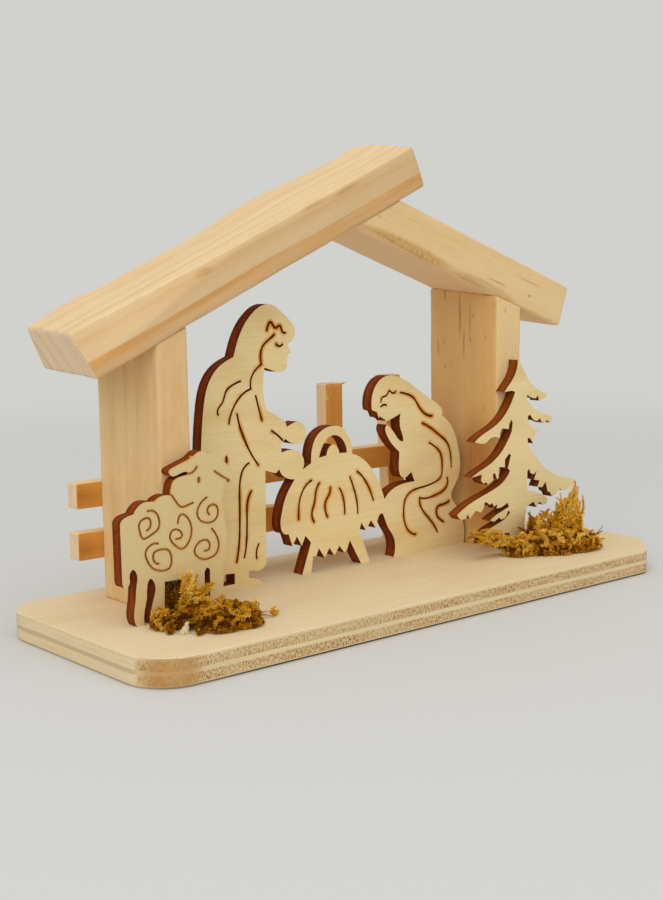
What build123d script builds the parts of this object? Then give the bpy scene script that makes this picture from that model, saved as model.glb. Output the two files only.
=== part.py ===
from build123d import *
import os
from math import cos, radians, sin, tan

os.makedirs("parts", exist_ok=True)

# Base board of five plies, set out from its left end and its front edge
left_wing = 21.0
left_post_width = 7.8
bay_width = 93.5
right_post_width = 9.0
right_wing = 28.7
front_apron = 27.9
post_depth = 23.8
back_margin = 8.3
base_corner_radius = 9.5
corner_cut = 11.6
corner_cut_radius = 5.0
face_veneer = 0.6
core_ply = 1.95
centre_veneer = 0.9
base_foot_bevel = 0.45
base_top_round = 0.25

# Posts and the two roof boards, heights at the middle of each post's width and at its back
left_post_height = 58.46
right_post_height = 64.8
left_pitch = 24.0
right_pitch = 19.4
left_board_thickness = 10.0
right_board_thickness = 8.8
left_board_overhang = 0.55
left_eave = 15.8
right_eave = 16.7
ridge_overhang = 7.7
low_end_skew = 2.3
ridge_end_skew = 4.8
right_underside_drop = 2.0
board_arris = 0.6
post_arris = 0.45
bevel_rise = 1.6
bevel_run = 2.8
bevel_length = 24.0
scoop_gap = 4.4
scoop_length = 31.0
scoop_depth = 1.5
scoop_lean = 45
wane_drop = 7.6
wane_run = 4.2
wane_length = 46.0

# Fence of sawn strips behind the posts
strip_width = 5.7
strip_thickness = 3.8
lower_rail_height = 8.95
lower_rail_width = 6.15
lower_rail_drop = 1.4
upper_rail_height = 20.4
rail_tail = 6.1
picket_height = 43.2
short_picket_height = 42.85
tall_picket_height = 43.85
picket_post_gap = 9.5
picket_spacing = 20.8
leaning_post_gap = 8.05
picket_lean = 2.1
strip_arris = 0.12

# Flat figures cut from thin plywood, with burnt lines on their front faces
figure_ply = 3.0
family_ply = 3.35
engraving_width = 0.5
engraving_depth = 0.6
line_steps = 3
quarter_turn = 90
family_setback = 10.5
family_left_gap = 9.8
family_right_gap = 0.7
family_height = 64.0
robe_mark_width = 0.8
robe_mark_height = 1.8
sheep_width = 28.6
sheep_height = 34.4
sheep_overhang = 11.8
sheep_eye_width = 0.9
sheep_eye_height = 1.4
tree_width = 45.4
tree_height = 48.2
tree_overhang = 17.3

# Dry moss on the base in front of the flat figures, and the glue under it
moss_gap = 0.3
left_moss_length = 24.0
left_moss_depth = 17.6
left_moss_height = 5.4
left_moss_lead = 3.2
left_sprig_height = 11.4
right_moss_length = 31.0
right_moss_depth = 16.6
right_moss_height = 6.2
right_moss_lead = 5.2
right_sprig_height = 15.6
sprig_root_radius = 2.4
sprig_tip_radius = 1.4
strand_length = 17.0
strand_drop = 5.0
strand_root_radius = 1.6
strand_tip_radius = 0.7
glue_radius = 2.3
glue_height = 1.5
glue_crown = 0.9

# Places that follow from the sizes above
base_length = left_wing + left_post_width + bay_width + right_post_width + right_wing
base_depth = front_apron + post_depth + back_margin
base_top = face_veneer + core_ply + centre_veneer + core_ply + face_veneer
left_outer = left_wing - base_length / 2
left_inner = left_outer + left_post_width
right_inner = left_inner + bay_width
right_outer = right_inner + right_post_width
left_middle = (left_outer + left_inner) / 2
right_middle = (right_inner + right_outer) / 2
post_front = front_apron - base_depth / 2
post_back = post_front + post_depth
rail_back = post_back + strip_thickness
picket_back = rail_back + strip_thickness
figure_front = post_front - figure_ply
family_front = post_front + family_setback
family_back = family_front + family_ply
family_left = left_inner + family_left_gap
family_width = bay_width - family_left_gap - family_right_gap
sheep_left = left_outer - sheep_overhang
tree_left = right_inner - tree_overhang

# Outlines as runs of points, each a share of the figure's own width and height
standing_shares = [
    ("line", [(0.029, 0.000), (0.024, 0.053)]),
    ("curve", [
        (0.010, 0.219), (0.000, 0.391), (0.002, 0.531), (0.011, 0.641), (0.027, 0.725),
        (0.058, 0.781), (0.094, 0.809), (0.114, 0.819),
    ]),
    ("curve", [
        (0.125, 0.863), (0.145, 0.916), (0.178, 0.966), (0.214, 0.994), (0.243, 0.997),
        (0.277, 0.972), (0.308, 0.939), (0.327, 0.900), (0.319, 0.870), (0.300, 0.855),
    ]),
    ("line", [
        (0.301, 0.847), (0.313, 0.823), (0.301, 0.817), (0.304, 0.808), (0.296, 0.803),
        (0.300, 0.794), (0.294, 0.786),
    ]),
    ("curve", [(0.296, 0.772), (0.277, 0.756), (0.248, 0.761), (0.217, 0.775)]),
    ("curve", [(0.212, 0.711), (0.214, 0.661), (0.223, 0.622)]),
    ("curve", [(0.252, 0.603), (0.287, 0.575)]),
    ("line", [(0.292, 0.555)]),
    ("curve", [
        (0.313, 0.566), (0.337, 0.569), (0.353, 0.555), (0.361, 0.522), (0.352, 0.497),
        (0.330, 0.488), (0.307, 0.495), (0.287, 0.512),
    ]),
    ("line", [(0.271, 0.498), (0.272, 0.464)]),
    ("curve", [(0.294, 0.470), (0.323, 0.467), (0.341, 0.452), (0.347, 0.392)]),
    ("line", [(0.360, 0.367), (0.330, 0.344), (0.318, 0.361)]),
    ("curve", [(0.294, 0.366), (0.275, 0.380), (0.263, 0.405)]),
    ("line", [(0.251, 0.392), (0.214, 0.406), (0.211, 0.084)]),
    ("curve", [(0.205, 0.059), (0.191, 0.049), (0.171, 0.050), (0.150, 0.053)]),
    ("line", [(0.150, 0.031)]),
    ("curve", [(0.169, 0.023), (0.189, 0.012), (0.199, 0.000)]),
    ("line", [(0.029, 0.000)]),
]
foot_gap_shares = [("line", [(0.063, 0.016), (0.067, 0.057), (0.102, 0.054), (0.102, 0.016), (0.063, 0.016)])]
manger_shares = [
    ("line", [(0.347, 0.392), (0.378, 0.412)]),
    ("curve", [
        (0.381, 0.459), (0.395, 0.502), (0.424, 0.531), (0.458, 0.541), (0.489, 0.534),
        (0.513, 0.508), (0.529, 0.469), (0.533, 0.427),
    ]),
    ("curve", [(0.566, 0.409), (0.600, 0.373), (0.629, 0.322), (0.648, 0.272), (0.659, 0.234)]),
    ("line", [(0.677, 0.206), (0.651, 0.180)]),
    ("curve", [(0.640, 0.177), (0.631, 0.159), (0.622, 0.128)]),
    ("line", [
        (0.604, 0.161), (0.583, 0.125), (0.566, 0.158), (0.558, 0.128), (0.599, 0.000),
        (0.563, 0.000), (0.520, 0.098), (0.508, 0.061), (0.498, 0.055), (0.480, 0.084),
        (0.460, 0.050), (0.442, 0.083), (0.424, 0.048), (0.402, 0.089), (0.392, 0.061),
        (0.380, 0.064), (0.373, 0.000), (0.339, 0.000), (0.373, 0.116), (0.353, 0.145),
        (0.339, 0.109), (0.322, 0.148), (0.305, 0.114), (0.292, 0.162),
    ]),
    ("curve", [
        (0.272, 0.170), (0.264, 0.200), (0.269, 0.244), (0.283, 0.297), (0.301, 0.334),
        (0.318, 0.361),
    ]),
    ("line", [(0.347, 0.392)]),
]
handle_shares = [
    ("curve", [
        (0.407, 0.428), (0.416, 0.459), (0.434, 0.491), (0.458, 0.505), (0.482, 0.500),
        (0.501, 0.478), (0.511, 0.450), (0.512, 0.434),
    ]),
    ("line", [(0.483, 0.436)]),
    ("curve", [(0.477, 0.458), (0.460, 0.472), (0.443, 0.459), (0.436, 0.433)]),
    ("line", [(0.407, 0.428)]),
]
kneeling_shares = [
    ("curve", [(0.659, 0.234), (0.675, 0.255), (0.701, 0.273), (0.740, 0.284), (0.784, 0.286)]),
    ("line", [(0.770, 0.325), (0.747, 0.306)]),
    ("curve", [(0.724, 0.319), (0.718, 0.353), (0.720, 0.412)]),
    ("curve", [(0.694, 0.441), (0.672, 0.478), (0.665, 0.512), (0.671, 0.522)]),
    ("curve", [(0.687, 0.506), (0.706, 0.478), (0.723, 0.455), (0.737, 0.450)]),
    ("curve", [(0.735, 0.472), (0.725, 0.506), (0.723, 0.534), (0.727, 0.561)]),
    ("curve", [(0.706, 0.550), (0.687, 0.542), (0.673, 0.537)]),
    ("line", [
        (0.666, 0.537), (0.661, 0.547), (0.657, 0.545), (0.654, 0.552), (0.649, 0.550),
        (0.646, 0.558), (0.639, 0.552), (0.631, 0.575), (0.612, 0.584),
    ]),
    ("curve", [
        (0.610, 0.616), (0.617, 0.653), (0.636, 0.688), (0.665, 0.708), (0.696, 0.709),
        (0.735, 0.695), (0.788, 0.656), (0.848, 0.609), (0.887, 0.578), (0.902, 0.556),
        (0.900, 0.536),
    ]),
    ("curve", [
        (0.925, 0.512), (0.952, 0.469), (0.971, 0.406), (0.980, 0.344), (0.975, 0.284),
        (0.959, 0.250), (0.943, 0.222),
    ]),
    ("curve", [
        (0.943, 0.194), (0.959, 0.166), (0.981, 0.131), (0.995, 0.087), (1.000, 0.044),
        (0.996, 0.000),
    ]),
    ("line", [(0.694, 0.000)]),
    ("curve", [(0.701, 0.041), (0.694, 0.081), (0.672, 0.122), (0.659, 0.159), (0.651, 0.180)]),
    ("line", [(0.631, 0.197), (0.659, 0.234)]),
]
sheep_shares = [
    ("curve", [
        (0.112, 0.000), (0.091, 0.052), (0.105, 0.145), (0.119, 0.244), (0.122, 0.320),
        (0.094, 0.346), (0.066, 0.320), (0.063, 0.267), (0.035, 0.244), (0.003, 0.273),
    ]),
    ("line", [(0.000, 0.610)]),
    ("curve", [(0.017, 0.648), (0.063, 0.666), (0.112, 0.674)]),
    ("curve", [(0.147, 0.712), (0.192, 0.733), (0.241, 0.735), (0.287, 0.727)]),
    ("curve", [(0.322, 0.747), (0.371, 0.759), (0.427, 0.753)]),
    ("curve", [(0.437, 0.797), (0.458, 0.837), (0.510, 0.858), (0.587, 0.866)]),
    ("line", [(0.587, 0.878)]),
    ("curve", [
        (0.510, 0.878), (0.434, 0.875), (0.423, 0.895), (0.469, 0.922), (0.552, 0.945),
        (0.629, 0.971),
    ]),
    ("curve", [
        (0.661, 0.991), (0.706, 1.000), (0.755, 0.988), (0.818, 0.977), (0.867, 0.951),
        (0.916, 0.910), (0.965, 0.872), (1.000, 0.826), (0.993, 0.791), (0.927, 0.802),
    ]),
    ("curve", [
        (0.895, 0.738), (0.885, 0.669), (0.902, 0.564), (0.913, 0.459), (0.899, 0.360),
        (0.867, 0.262),
    ]),
    ("line", [(0.857, 0.000), (0.748, 0.000), (0.755, 0.259)]),
    ("curve", [(0.734, 0.279), (0.706, 0.253)]),
    ("line", [(0.696, 0.000), (0.605, 0.000), (0.601, 0.198)]),
    ("curve", [(0.545, 0.227), (0.448, 0.238), (0.357, 0.241)]),
    ("line", [(0.343, 0.000), (0.227, 0.000)]),
    ("curve", [
        (0.234, 0.076), (0.259, 0.151), (0.269, 0.244), (0.238, 0.273), (0.210, 0.244),
        (0.203, 0.174), (0.182, 0.093), (0.175, 0.000),
    ]),
    ("line", [(0.112, 0.000)]),
]
tree_shares = [
    ("line", [(0.482, 1.000), (0.502, 0.994)]),
    ("curve", [(0.533, 0.942), (0.581, 0.884), (0.643, 0.840), (0.722, 0.809)]),
    ("curve", [(0.731, 0.801), (0.700, 0.780), (0.663, 0.774)]),
    ("line", [(0.654, 0.805), (0.637, 0.788)]),
    ("curve", [(0.599, 0.795), (0.564, 0.813)]),
    ("line", [(0.562, 0.786)]),
    ("curve", [(0.599, 0.751), (0.665, 0.716), (0.767, 0.685)]),
    ("line", [
        (0.782, 0.666), (0.760, 0.649), (0.733, 0.664), (0.709, 0.651), (0.683, 0.660),
        (0.674, 0.680), (0.656, 0.668),
    ]),
    ("curve", [(0.621, 0.674), (0.599, 0.693)]),
    ("line", [(0.588, 0.705), (0.570, 0.697), (0.570, 0.670)]),
    ("curve", [(0.599, 0.641), (0.630, 0.624), (0.667, 0.616)]),
    ("line", [
        (0.637, 0.600), (0.623, 0.579), (0.615, 0.548), (0.593, 0.575), (0.570, 0.583),
        (0.570, 0.552),
    ]),
    ("curve", [(0.608, 0.506), (0.674, 0.444), (0.753, 0.386), (0.850, 0.349), (0.974, 0.315)]),
    ("line", [(1.000, 0.297)]),
    ("curve", [(0.947, 0.276), (0.877, 0.266)]),
    ("line", [
        (0.850, 0.278), (0.819, 0.255), (0.782, 0.243), (0.764, 0.268), (0.744, 0.274),
        (0.725, 0.330), (0.696, 0.303), (0.654, 0.309), (0.674, 0.342), (0.626, 0.351),
        (0.648, 0.396), (0.621, 0.380), (0.595, 0.390), (0.584, 0.415), (0.568, 0.402),
        (0.568, 0.299),
    ]),
    ("curve", [(0.630, 0.286), (0.692, 0.266), (0.747, 0.232)]),
    ("line", [
        (0.736, 0.210), (0.709, 0.205), (0.670, 0.226), (0.648, 0.199), (0.621, 0.232),
        (0.564, 0.212), (0.546, 0.124), (0.564, 0.000), (0.405, 0.000), (0.423, 0.087),
        (0.352, 0.093), (0.291, 0.108), (0.220, 0.112),
    ]),
    ("curve", [(0.291, 0.139), (0.370, 0.162), (0.427, 0.199)]),
    ("line", [
        (0.410, 0.207), (0.388, 0.174), (0.352, 0.166), (0.335, 0.180), (0.295, 0.162),
        (0.260, 0.172),
    ]),
    ("curve", [(0.304, 0.193), (0.361, 0.212), (0.416, 0.228)]),
    ("line", [
        (0.403, 0.251), (0.357, 0.232), (0.313, 0.230), (0.322, 0.251), (0.291, 0.243),
        (0.282, 0.263), (0.256, 0.257), (0.233, 0.274), (0.216, 0.272), (0.211, 0.245),
        (0.189, 0.224), (0.145, 0.237), (0.101, 0.201), (0.084, 0.226), (0.068, 0.205),
        (0.026, 0.205), (0.000, 0.232),
    ]),
    ("curve", [(0.088, 0.274), (0.187, 0.305), (0.286, 0.332), (0.366, 0.365), (0.423, 0.419)]),
    ("line", [
        (0.405, 0.434), (0.430, 0.502), (0.416, 0.512), (0.381, 0.483), (0.381, 0.442),
        (0.335, 0.448), (0.330, 0.392), (0.317, 0.384), (0.300, 0.419), (0.284, 0.417),
        (0.286, 0.384), (0.242, 0.363), (0.233, 0.378), (0.207, 0.373), (0.189, 0.390),
        (0.194, 0.423), (0.150, 0.417), (0.112, 0.413),
    ]),
    ("curve", [(0.187, 0.444), (0.273, 0.475), (0.344, 0.519), (0.401, 0.577), (0.436, 0.627)]),
    ("line", [
        (0.443, 0.672), (0.432, 0.691), (0.416, 0.668), (0.410, 0.641), (0.357, 0.649),
        (0.341, 0.629), (0.339, 0.600),
    ]),
    ("curve", [(0.300, 0.608), (0.262, 0.604), (0.229, 0.585), (0.181, 0.585), (0.139, 0.595)]),
    ("curve", [(0.207, 0.631), (0.286, 0.660), (0.361, 0.703), (0.419, 0.761), (0.463, 0.834)]),
    ("line", [(0.432, 0.842), (0.374, 0.838)]),
    ("curve", [(0.423, 0.882), (0.465, 0.932), (0.482, 1.000)]),
]
# Burnt lines, again as shares of the figure's own width and height
standing_line_shares = [
    ("hair", [
        (0.228, 0.906), (0.246, 0.930), (0.259, 0.913), (0.273, 0.920), (0.283, 0.898),
        (0.293, 0.894),
    ]),
    ("eye", [(0.260, 0.855), (0.271, 0.847), (0.282, 0.853)]),
    ("hood", [(0.253, 0.889), (0.228, 0.867), (0.211, 0.847), (0.205, 0.816), (0.207, 0.787)]),
    ("collar", [(0.207, 0.787), (0.188, 0.770), (0.173, 0.744), (0.170, 0.703)]),
    ("shoulder", [(0.170, 0.703), (0.143, 0.688), (0.119, 0.659), (0.102, 0.623), (0.094, 0.588)]),
    ("back fold", [
        (0.135, 0.733), (0.111, 0.723), (0.087, 0.702), (0.073, 0.662), (0.058, 0.639),
        (0.059, 0.622),
    ]),
    ("chest", [(0.186, 0.677), (0.195, 0.634), (0.205, 0.589)]),
    ("sleeve", [(0.122, 0.619), (0.129, 0.578), (0.145, 0.525), (0.164, 0.478), (0.190, 0.430)]),
    ("cuff", [(0.239, 0.547), (0.258, 0.530), (0.276, 0.509)]),
    ("robe long", [
        (0.158, 0.441), (0.137, 0.419), (0.128, 0.388), (0.124, 0.312), (0.122, 0.203),
        (0.110, 0.094),
    ]),
    ("robe mid", [(0.164, 0.339), (0.152, 0.309), (0.148, 0.250), (0.146, 0.181), (0.136, 0.105)]),
    ("robe hem", [(0.186, 0.144), (0.178, 0.119), (0.178, 0.094)]),
]
manger_line_shares = [
    ("a", [(0.378, 0.347), (0.354, 0.327), (0.337, 0.291), (0.330, 0.250), (0.329, 0.211)]),
    ("b", [(0.406, 0.333), (0.392, 0.294), (0.388, 0.263), (0.380, 0.234), (0.386, 0.191)]),
    ("c", [(0.448, 0.309), (0.441, 0.281), (0.429, 0.258), (0.428, 0.230), (0.435, 0.203)]),
    ("d", [(0.483, 0.303), (0.495, 0.273), (0.501, 0.237), (0.502, 0.203)]),
    ("e", [(0.523, 0.339), (0.537, 0.297), (0.548, 0.250), (0.552, 0.197)]),
    ("f", [(0.553, 0.356), (0.577, 0.328), (0.599, 0.284), (0.614, 0.237)]),
]
kneeling_line_shares = [
    ("hair", [
        (0.648, 0.613), (0.657, 0.631), (0.672, 0.637), (0.681, 0.652), (0.690, 0.645),
        (0.699, 0.641), (0.707, 0.647),
    ]),
    ("eye", [(0.648, 0.594), (0.658, 0.600), (0.669, 0.598)]),
    ("veil", [
        (0.728, 0.641), (0.754, 0.633), (0.782, 0.614), (0.802, 0.581), (0.827, 0.550),
        (0.841, 0.541), (0.858, 0.537),
    ]),
    ("back", [
        (0.818, 0.512), (0.851, 0.491), (0.889, 0.458), (0.924, 0.422), (0.937, 0.381),
        (0.941, 0.322),
    ]),
    ("lap", [
        (0.846, 0.431), (0.875, 0.409), (0.894, 0.384), (0.902, 0.338), (0.894, 0.286),
        (0.865, 0.269), (0.824, 0.259), (0.778, 0.252), (0.749, 0.231), (0.737, 0.181),
        (0.742, 0.125), (0.759, 0.091), (0.786, 0.073),
    ]),
    ("thigh", [
        (0.923, 0.281), (0.924, 0.253), (0.908, 0.233), (0.865, 0.216), (0.829, 0.211),
        (0.805, 0.217),
    ]),
    ("shin", [(0.805, 0.217), (0.807, 0.189), (0.827, 0.150), (0.858, 0.108), (0.880, 0.066)]),
    ("foot", [
        (0.930, 0.184), (0.901, 0.175), (0.880, 0.166), (0.876, 0.144), (0.889, 0.119),
        (0.907, 0.103),
    ]),
]
sheep_line_shares = [
    ("ear", [(0.580, 0.872), (0.629, 0.881), (0.661, 0.907)]),
    ("jaw", [(0.434, 0.756), (0.472, 0.712), (0.517, 0.677), (0.563, 0.680), (0.619, 0.692)]),
    ("right ear", [(0.818, 0.866), (0.881, 0.831), (0.948, 0.799)]),
]
curl_shares = [
    ("upper left", [
        (0.231, 0.680), (0.283, 0.674), (0.322, 0.628), (0.315, 0.567), (0.259, 0.538),
        (0.182, 0.523), (0.161, 0.564), (0.157, 0.610), (0.203, 0.640), (0.241, 0.634),
        (0.252, 0.599), (0.220, 0.567),
    ]),
    ("middle", [
        (0.483, 0.581), (0.524, 0.631), (0.573, 0.599), (0.601, 0.529), (0.580, 0.465),
        (0.517, 0.422), (0.448, 0.453), (0.413, 0.506), (0.434, 0.541), (0.483, 0.541),
        (0.517, 0.506), (0.465, 0.488),
    ]),
    ("upper right", [
        (0.741, 0.712), (0.685, 0.680), (0.654, 0.622), (0.678, 0.578), (0.734, 0.558),
        (0.811, 0.567), (0.839, 0.610), (0.822, 0.654), (0.769, 0.660), (0.745, 0.634),
        (0.762, 0.605),
    ]),
    ("lower right", [
        (0.780, 0.515), (0.825, 0.459), (0.839, 0.401), (0.811, 0.355), (0.741, 0.334),
        (0.664, 0.346), (0.622, 0.390), (0.647, 0.433), (0.699, 0.453), (0.748, 0.439),
        (0.755, 0.398), (0.713, 0.387),
    ]),
    ("lower left", [
        (0.308, 0.477), (0.238, 0.471), (0.203, 0.436), (0.217, 0.381), (0.259, 0.334),
        (0.332, 0.311), (0.402, 0.320), (0.420, 0.372), (0.395, 0.427), (0.332, 0.439),
        (0.273, 0.424), (0.266, 0.387), (0.308, 0.355),
    ]),
]
robe_mark_share = (0.083, 0.464)
sheep_eye_share = (0.675, 0.826)

# Moss lumps: place along and out from the figure, and radius against the clump's height
left_lump_shares = [
    (0.16, 0.24, 0.68), (0.25, 0.52, 0.86), (0.45, 0.38, 1.00), (0.49, 0.72, 0.88),
    (0.70, 0.49, 0.86), (0.70, 0.79, 0.72), (0.90, 0.46, 0.60),
]
right_lump_shares = [
    (0.09, 0.37, 0.66), (0.25, 0.43, 0.84), (0.41, 0.58, 0.96), (0.59, 0.64, 1.00),
    (0.70, 0.72, 0.76), (0.80, 0.60, 0.46), (0.64, 0.31, 0.88),
]
left_sprig_share = (0.46, 0.17)
right_sprig_share = (0.65, 0.52)
strand_share = (0.12, 0.26)
glue_share = (0.16, 0.62)


def facing(back):
    """Upright plane, seen from the front, whose extrusions come forward from the given depth."""
    return Plane.XZ.offset(-back)


def placed(shares, left, width, height):
    """Points of a figure standing on the base, from shares of its width and height."""
    return [(left + x_share * width, base_top + z_share * height) for x_share, z_share in shares]


def outline(runs, left, width, height):
    """Closed line of straight and curved runs, each starting where the one before it ends."""
    with BuildLine() as drawn:
        start = []
        for kind, shares in runs:
            points = start + placed(shares, left, width, height)
            if kind == "curve":
                Spline(points)
            else:
                Polyline(points)
            start = points[-1:]
    return drawn.edges()


def burnt_line(shares, left, width, height):
    """Closed outline of one burnt line: the two sides of its centre line, joined by round ends."""
    with BuildLine() as centre:
        Spline(placed(shares, left, width, height))
    middle = centre.edges()[0]
    step_count = line_steps * len(shares)
    places = [step / step_count for step in range(step_count + 1)]
    half = engraving_width / 2
    aside = [(middle % place).rotate(Axis.Z, quarter_turn) * half for place in places]
    upper = [middle @ place + shift for place, shift in zip(places, aside)]
    lower = [middle @ place - shift for place, shift in zip(places, aside)]
    with BuildLine() as drawn:
        Spline(upper)
        ThreePointArc(upper[-1], middle @ places[-1] + (middle % places[-1]) * half, lower[-1])
        Spline(lower)
        ThreePointArc(lower[0], middle @ places[0] - (middle % places[0]) * half, upper[0])
    return drawn.edges()


def left_underside(x):
    """Height of the left roof board's underside."""
    return base_top + left_post_height + tan(radians(left_pitch)) * (x - left_middle)


def right_underside(x):
    """Height of the right roof board's underside at its back edge."""
    return base_top + right_post_height - tan(radians(right_pitch)) * (x - right_middle)


def finish(builder, name):
    """Names a piece and writes it out."""
    builder.part.label = name
    export_step(builder.part, f"parts/{name}.step")


# Base board, five glued plies from the bottom up, its edges eased and its front right corner sawn off
plies = [
    ("base_bottom_veneer", face_veneer), ("base_lower_core", core_ply),
    ("base_centre_veneer", centre_veneer), ("base_upper_core", core_ply),
    ("base_top_veneer", face_veneer),
]
level = 0
for ply_name, ply_thickness in plies:
    with BuildPart() as ply:
        with BuildSketch(Plane.XY.offset(level)) as ply_face:
            Rectangle(base_length, base_depth)
            corners = ply_face.vertices().sort_by(Axis.Y)
            front_corners = corners[:2].sort_by(Axis.X)
            fillet([front_corners[0], *corners[2:]], base_corner_radius)
            chamfer(ply_face.vertices().group_by(Axis.Y)[0].sort_by(Axis.X)[-1], corner_cut)
            fillet(ply_face.vertices().group_by(Axis.Y)[0].sort_by(Axis.X)[-1], corner_cut_radius)
            fillet(ply_face.vertices().group_by(Axis.X)[-1].sort_by(Axis.Y)[0], corner_cut_radius)
        extrude(amount=ply_thickness)
        if ply_name == "base_bottom_veneer":
            chamfer(ply.faces().sort_by(Axis.Z)[0].edges(), base_foot_bevel)
        if ply_name == "base_top_veneer":
            fillet(ply.faces().sort_by(Axis.Z)[-1].edges(), base_top_round)
    finish(ply, ply_name)
    level = level + ply_thickness

# Left post, its top cut to the slope of the left roof board
with BuildPart() as left_post:
    with BuildSketch(facing(post_back)):
        with BuildLine():
            Polyline(
                (left_outer, base_top), (left_inner, base_top),
                (left_inner, left_underside(left_inner)), (left_outer, left_underside(left_outer)),
                close=True,
            )
        make_face()
    extrude(amount=post_depth)
    fillet(left_post.edges().filter_by(Axis.Z), post_arris)
finish(left_post, "left_post")

# The right roof board's underside falls along the board and a little from back to front
right_slope = Vector(cos(radians(right_pitch)), 0, -sin(radians(right_pitch)))
right_upright = Vector(sin(radians(right_pitch)), 0, cos(radians(right_pitch)))
underside_start = Vector(right_inner, post_back, right_underside(right_inner))
underside_forward = Vector(0, -post_depth, -right_underside_drop)
underside_plane = Plane(underside_start, x_dir=right_slope, z_dir=underside_forward.cross(right_slope))

# Right post, its top cut to that underside
with BuildPart() as right_post:
    with BuildSketch(facing(post_back)):
        with BuildLine():
            Polyline(
                (right_inner, base_top), (right_outer, base_top),
                (right_outer, right_underside(right_outer)), (right_inner, right_underside(right_inner)),
                close=True,
            )
        make_face()
    extrude(amount=post_depth)
    fillet(right_post.edges().filter_by(Axis.Z), post_arris)
    split(bisect_by=underside_plane, keep=Keep.BOTTOM)
finish(right_post, "right_post")

# Where the right board's square-sided end meets the underside of the left board
left_rise = tan(radians(left_pitch))
right_fall = tan(radians(right_pitch))
board_step = right_board_thickness / cos(radians(right_pitch))
butt_x = (right_underside(0) - left_underside(0)) / (left_rise + right_fall)
butt_top_x = (right_underside(0) + board_step - left_underside(0)) / (left_rise + right_fall)
butt_low_x = (right_underside(0) - right_underside_drop - left_underside(0)) / (left_rise + right_fall)

# Left roof board, running on past the right one at the ridge, its ends sawn askew, the low one waned
left_low_x = left_outer - left_eave * cos(radians(left_pitch))
left_high_x = butt_top_x + ridge_overhang * cos(radians(left_pitch))
left_back_x = left_board_thickness * sin(radians(left_pitch))
left_back_z = left_board_thickness * cos(radians(left_pitch))
left_slope = Vector(cos(radians(left_pitch)), 0, sin(radians(left_pitch)))
left_upright = Vector(-sin(radians(left_pitch)), 0, cos(radians(left_pitch)))
left_front = post_front - left_board_overhang
left_width = post_depth + left_board_overhang + left_board_overhang
left_long_x = left_high_x + ridge_end_skew * cos(radians(left_pitch))
low_front = Vector(left_low_x, left_front, left_underside(left_low_x))
high_front = Vector(left_high_x, left_front, left_underside(left_high_x))
low_across = Vector(0, left_width, 0) + left_slope * low_end_skew
high_across = Vector(0, left_width, 0) + left_slope * ridge_end_skew
low_cut = Plane(low_front, x_dir=left_upright, z_dir=low_across.cross(left_upright))
ridge_cut = Plane(high_front, x_dir=left_upright, z_dir=high_across.cross(left_upright))
wane_corner = low_front + left_upright * left_board_thickness
wane_low = wane_corner - left_upright * wane_drop
wane_back = wane_corner + Vector(0, wane_run, 0)
wane_end = wane_corner + left_slope * wane_length
wane_normal = (wane_end - wane_low).cross(wane_back - wane_low)
with BuildPart() as left_roof_board:
    with BuildSketch(facing(post_back + left_board_overhang)):
        with BuildLine():
            Polyline(
                (left_low_x, left_underside(left_low_x)), (left_long_x, left_underside(left_long_x)),
                (left_long_x - left_back_x, left_underside(left_long_x) + left_back_z),
                (left_low_x - left_back_x, left_underside(left_low_x) + left_back_z),
                close=True,
            )
        make_face()
    extrude(amount=left_width)
    split(bisect_by=low_cut, keep=Keep.TOP)
    split(bisect_by=ridge_cut, keep=Keep.BOTTOM)
    fillet(left_roof_board.edges(), board_arris)
    split(bisect_by=Plane(wane_low, x_dir=wane_end - wane_low, z_dir=wane_normal), keep=Keep.BOTTOM)
finish(left_roof_board, "left_roof_board")

# Right roof board, butted under the left one, thicker in front, its lower front edge bevelled and scooped
right_low_x = right_outer + right_eave * cos(radians(right_pitch))
right_drop = right_underside_drop * cos(radians(right_pitch))
low_end = Vector(right_low_x, 0, right_underside(right_low_x))
low_end_under = low_end - right_upright * right_drop
low_end_top = low_end + right_upright * right_board_thickness


def front_edge(x):
    """Point of the right roof board's lower front edge before it is bevelled."""
    return Vector(x, post_front, right_underside(x) - right_underside_drop)


bevel_top = front_edge(butt_low_x) + Vector(0, 0, bevel_rise)
bevel_inside = front_edge(butt_low_x) + Vector(0, bevel_run, 0)
bevel_end = front_edge(butt_low_x + bevel_length)
bevel_normal = (bevel_end - bevel_top).cross(bevel_inside - bevel_top)
scoop_radius = (scoop_length * scoop_length / 4 + scoop_depth * scoop_depth) / (scoop_depth + scoop_depth)
scoop_out = Vector(0, -cos(radians(scoop_lean)), 0) - right_upright * sin(radians(scoop_lean))
scoop_centre = front_edge(right_inner - scoop_gap) + scoop_out * (scoop_radius - scoop_depth)
with BuildPart() as right_roof_board:
    with BuildSketch(facing(post_back)):
        with BuildLine():
            Polyline(
                (butt_low_x, left_underside(butt_low_x)), (low_end_under.X, low_end_under.Z),
                (low_end_top.X, low_end_top.Z), (butt_top_x, left_underside(butt_top_x)),
                close=True,
            )
        make_face()
    extrude(amount=post_depth)
    split(bisect_by=underside_plane, keep=Keep.TOP)
    past_butt = right_roof_board.edges().filter_by_position(Axis.X, butt_top_x + board_step, base_length)
    fillet(past_butt, board_arris)
    split(bisect_by=Plane(bevel_top, x_dir=bevel_end - bevel_top, z_dir=bevel_normal), keep=Keep.TOP)
    with Locations(Plane(scoop_centre, x_dir=right_slope, z_dir=right_slope.cross(scoop_out))):
        Cylinder(scoop_radius, base_depth, mode=Mode.SUBTRACT)
finish(right_roof_board, "right_roof_board")

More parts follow.
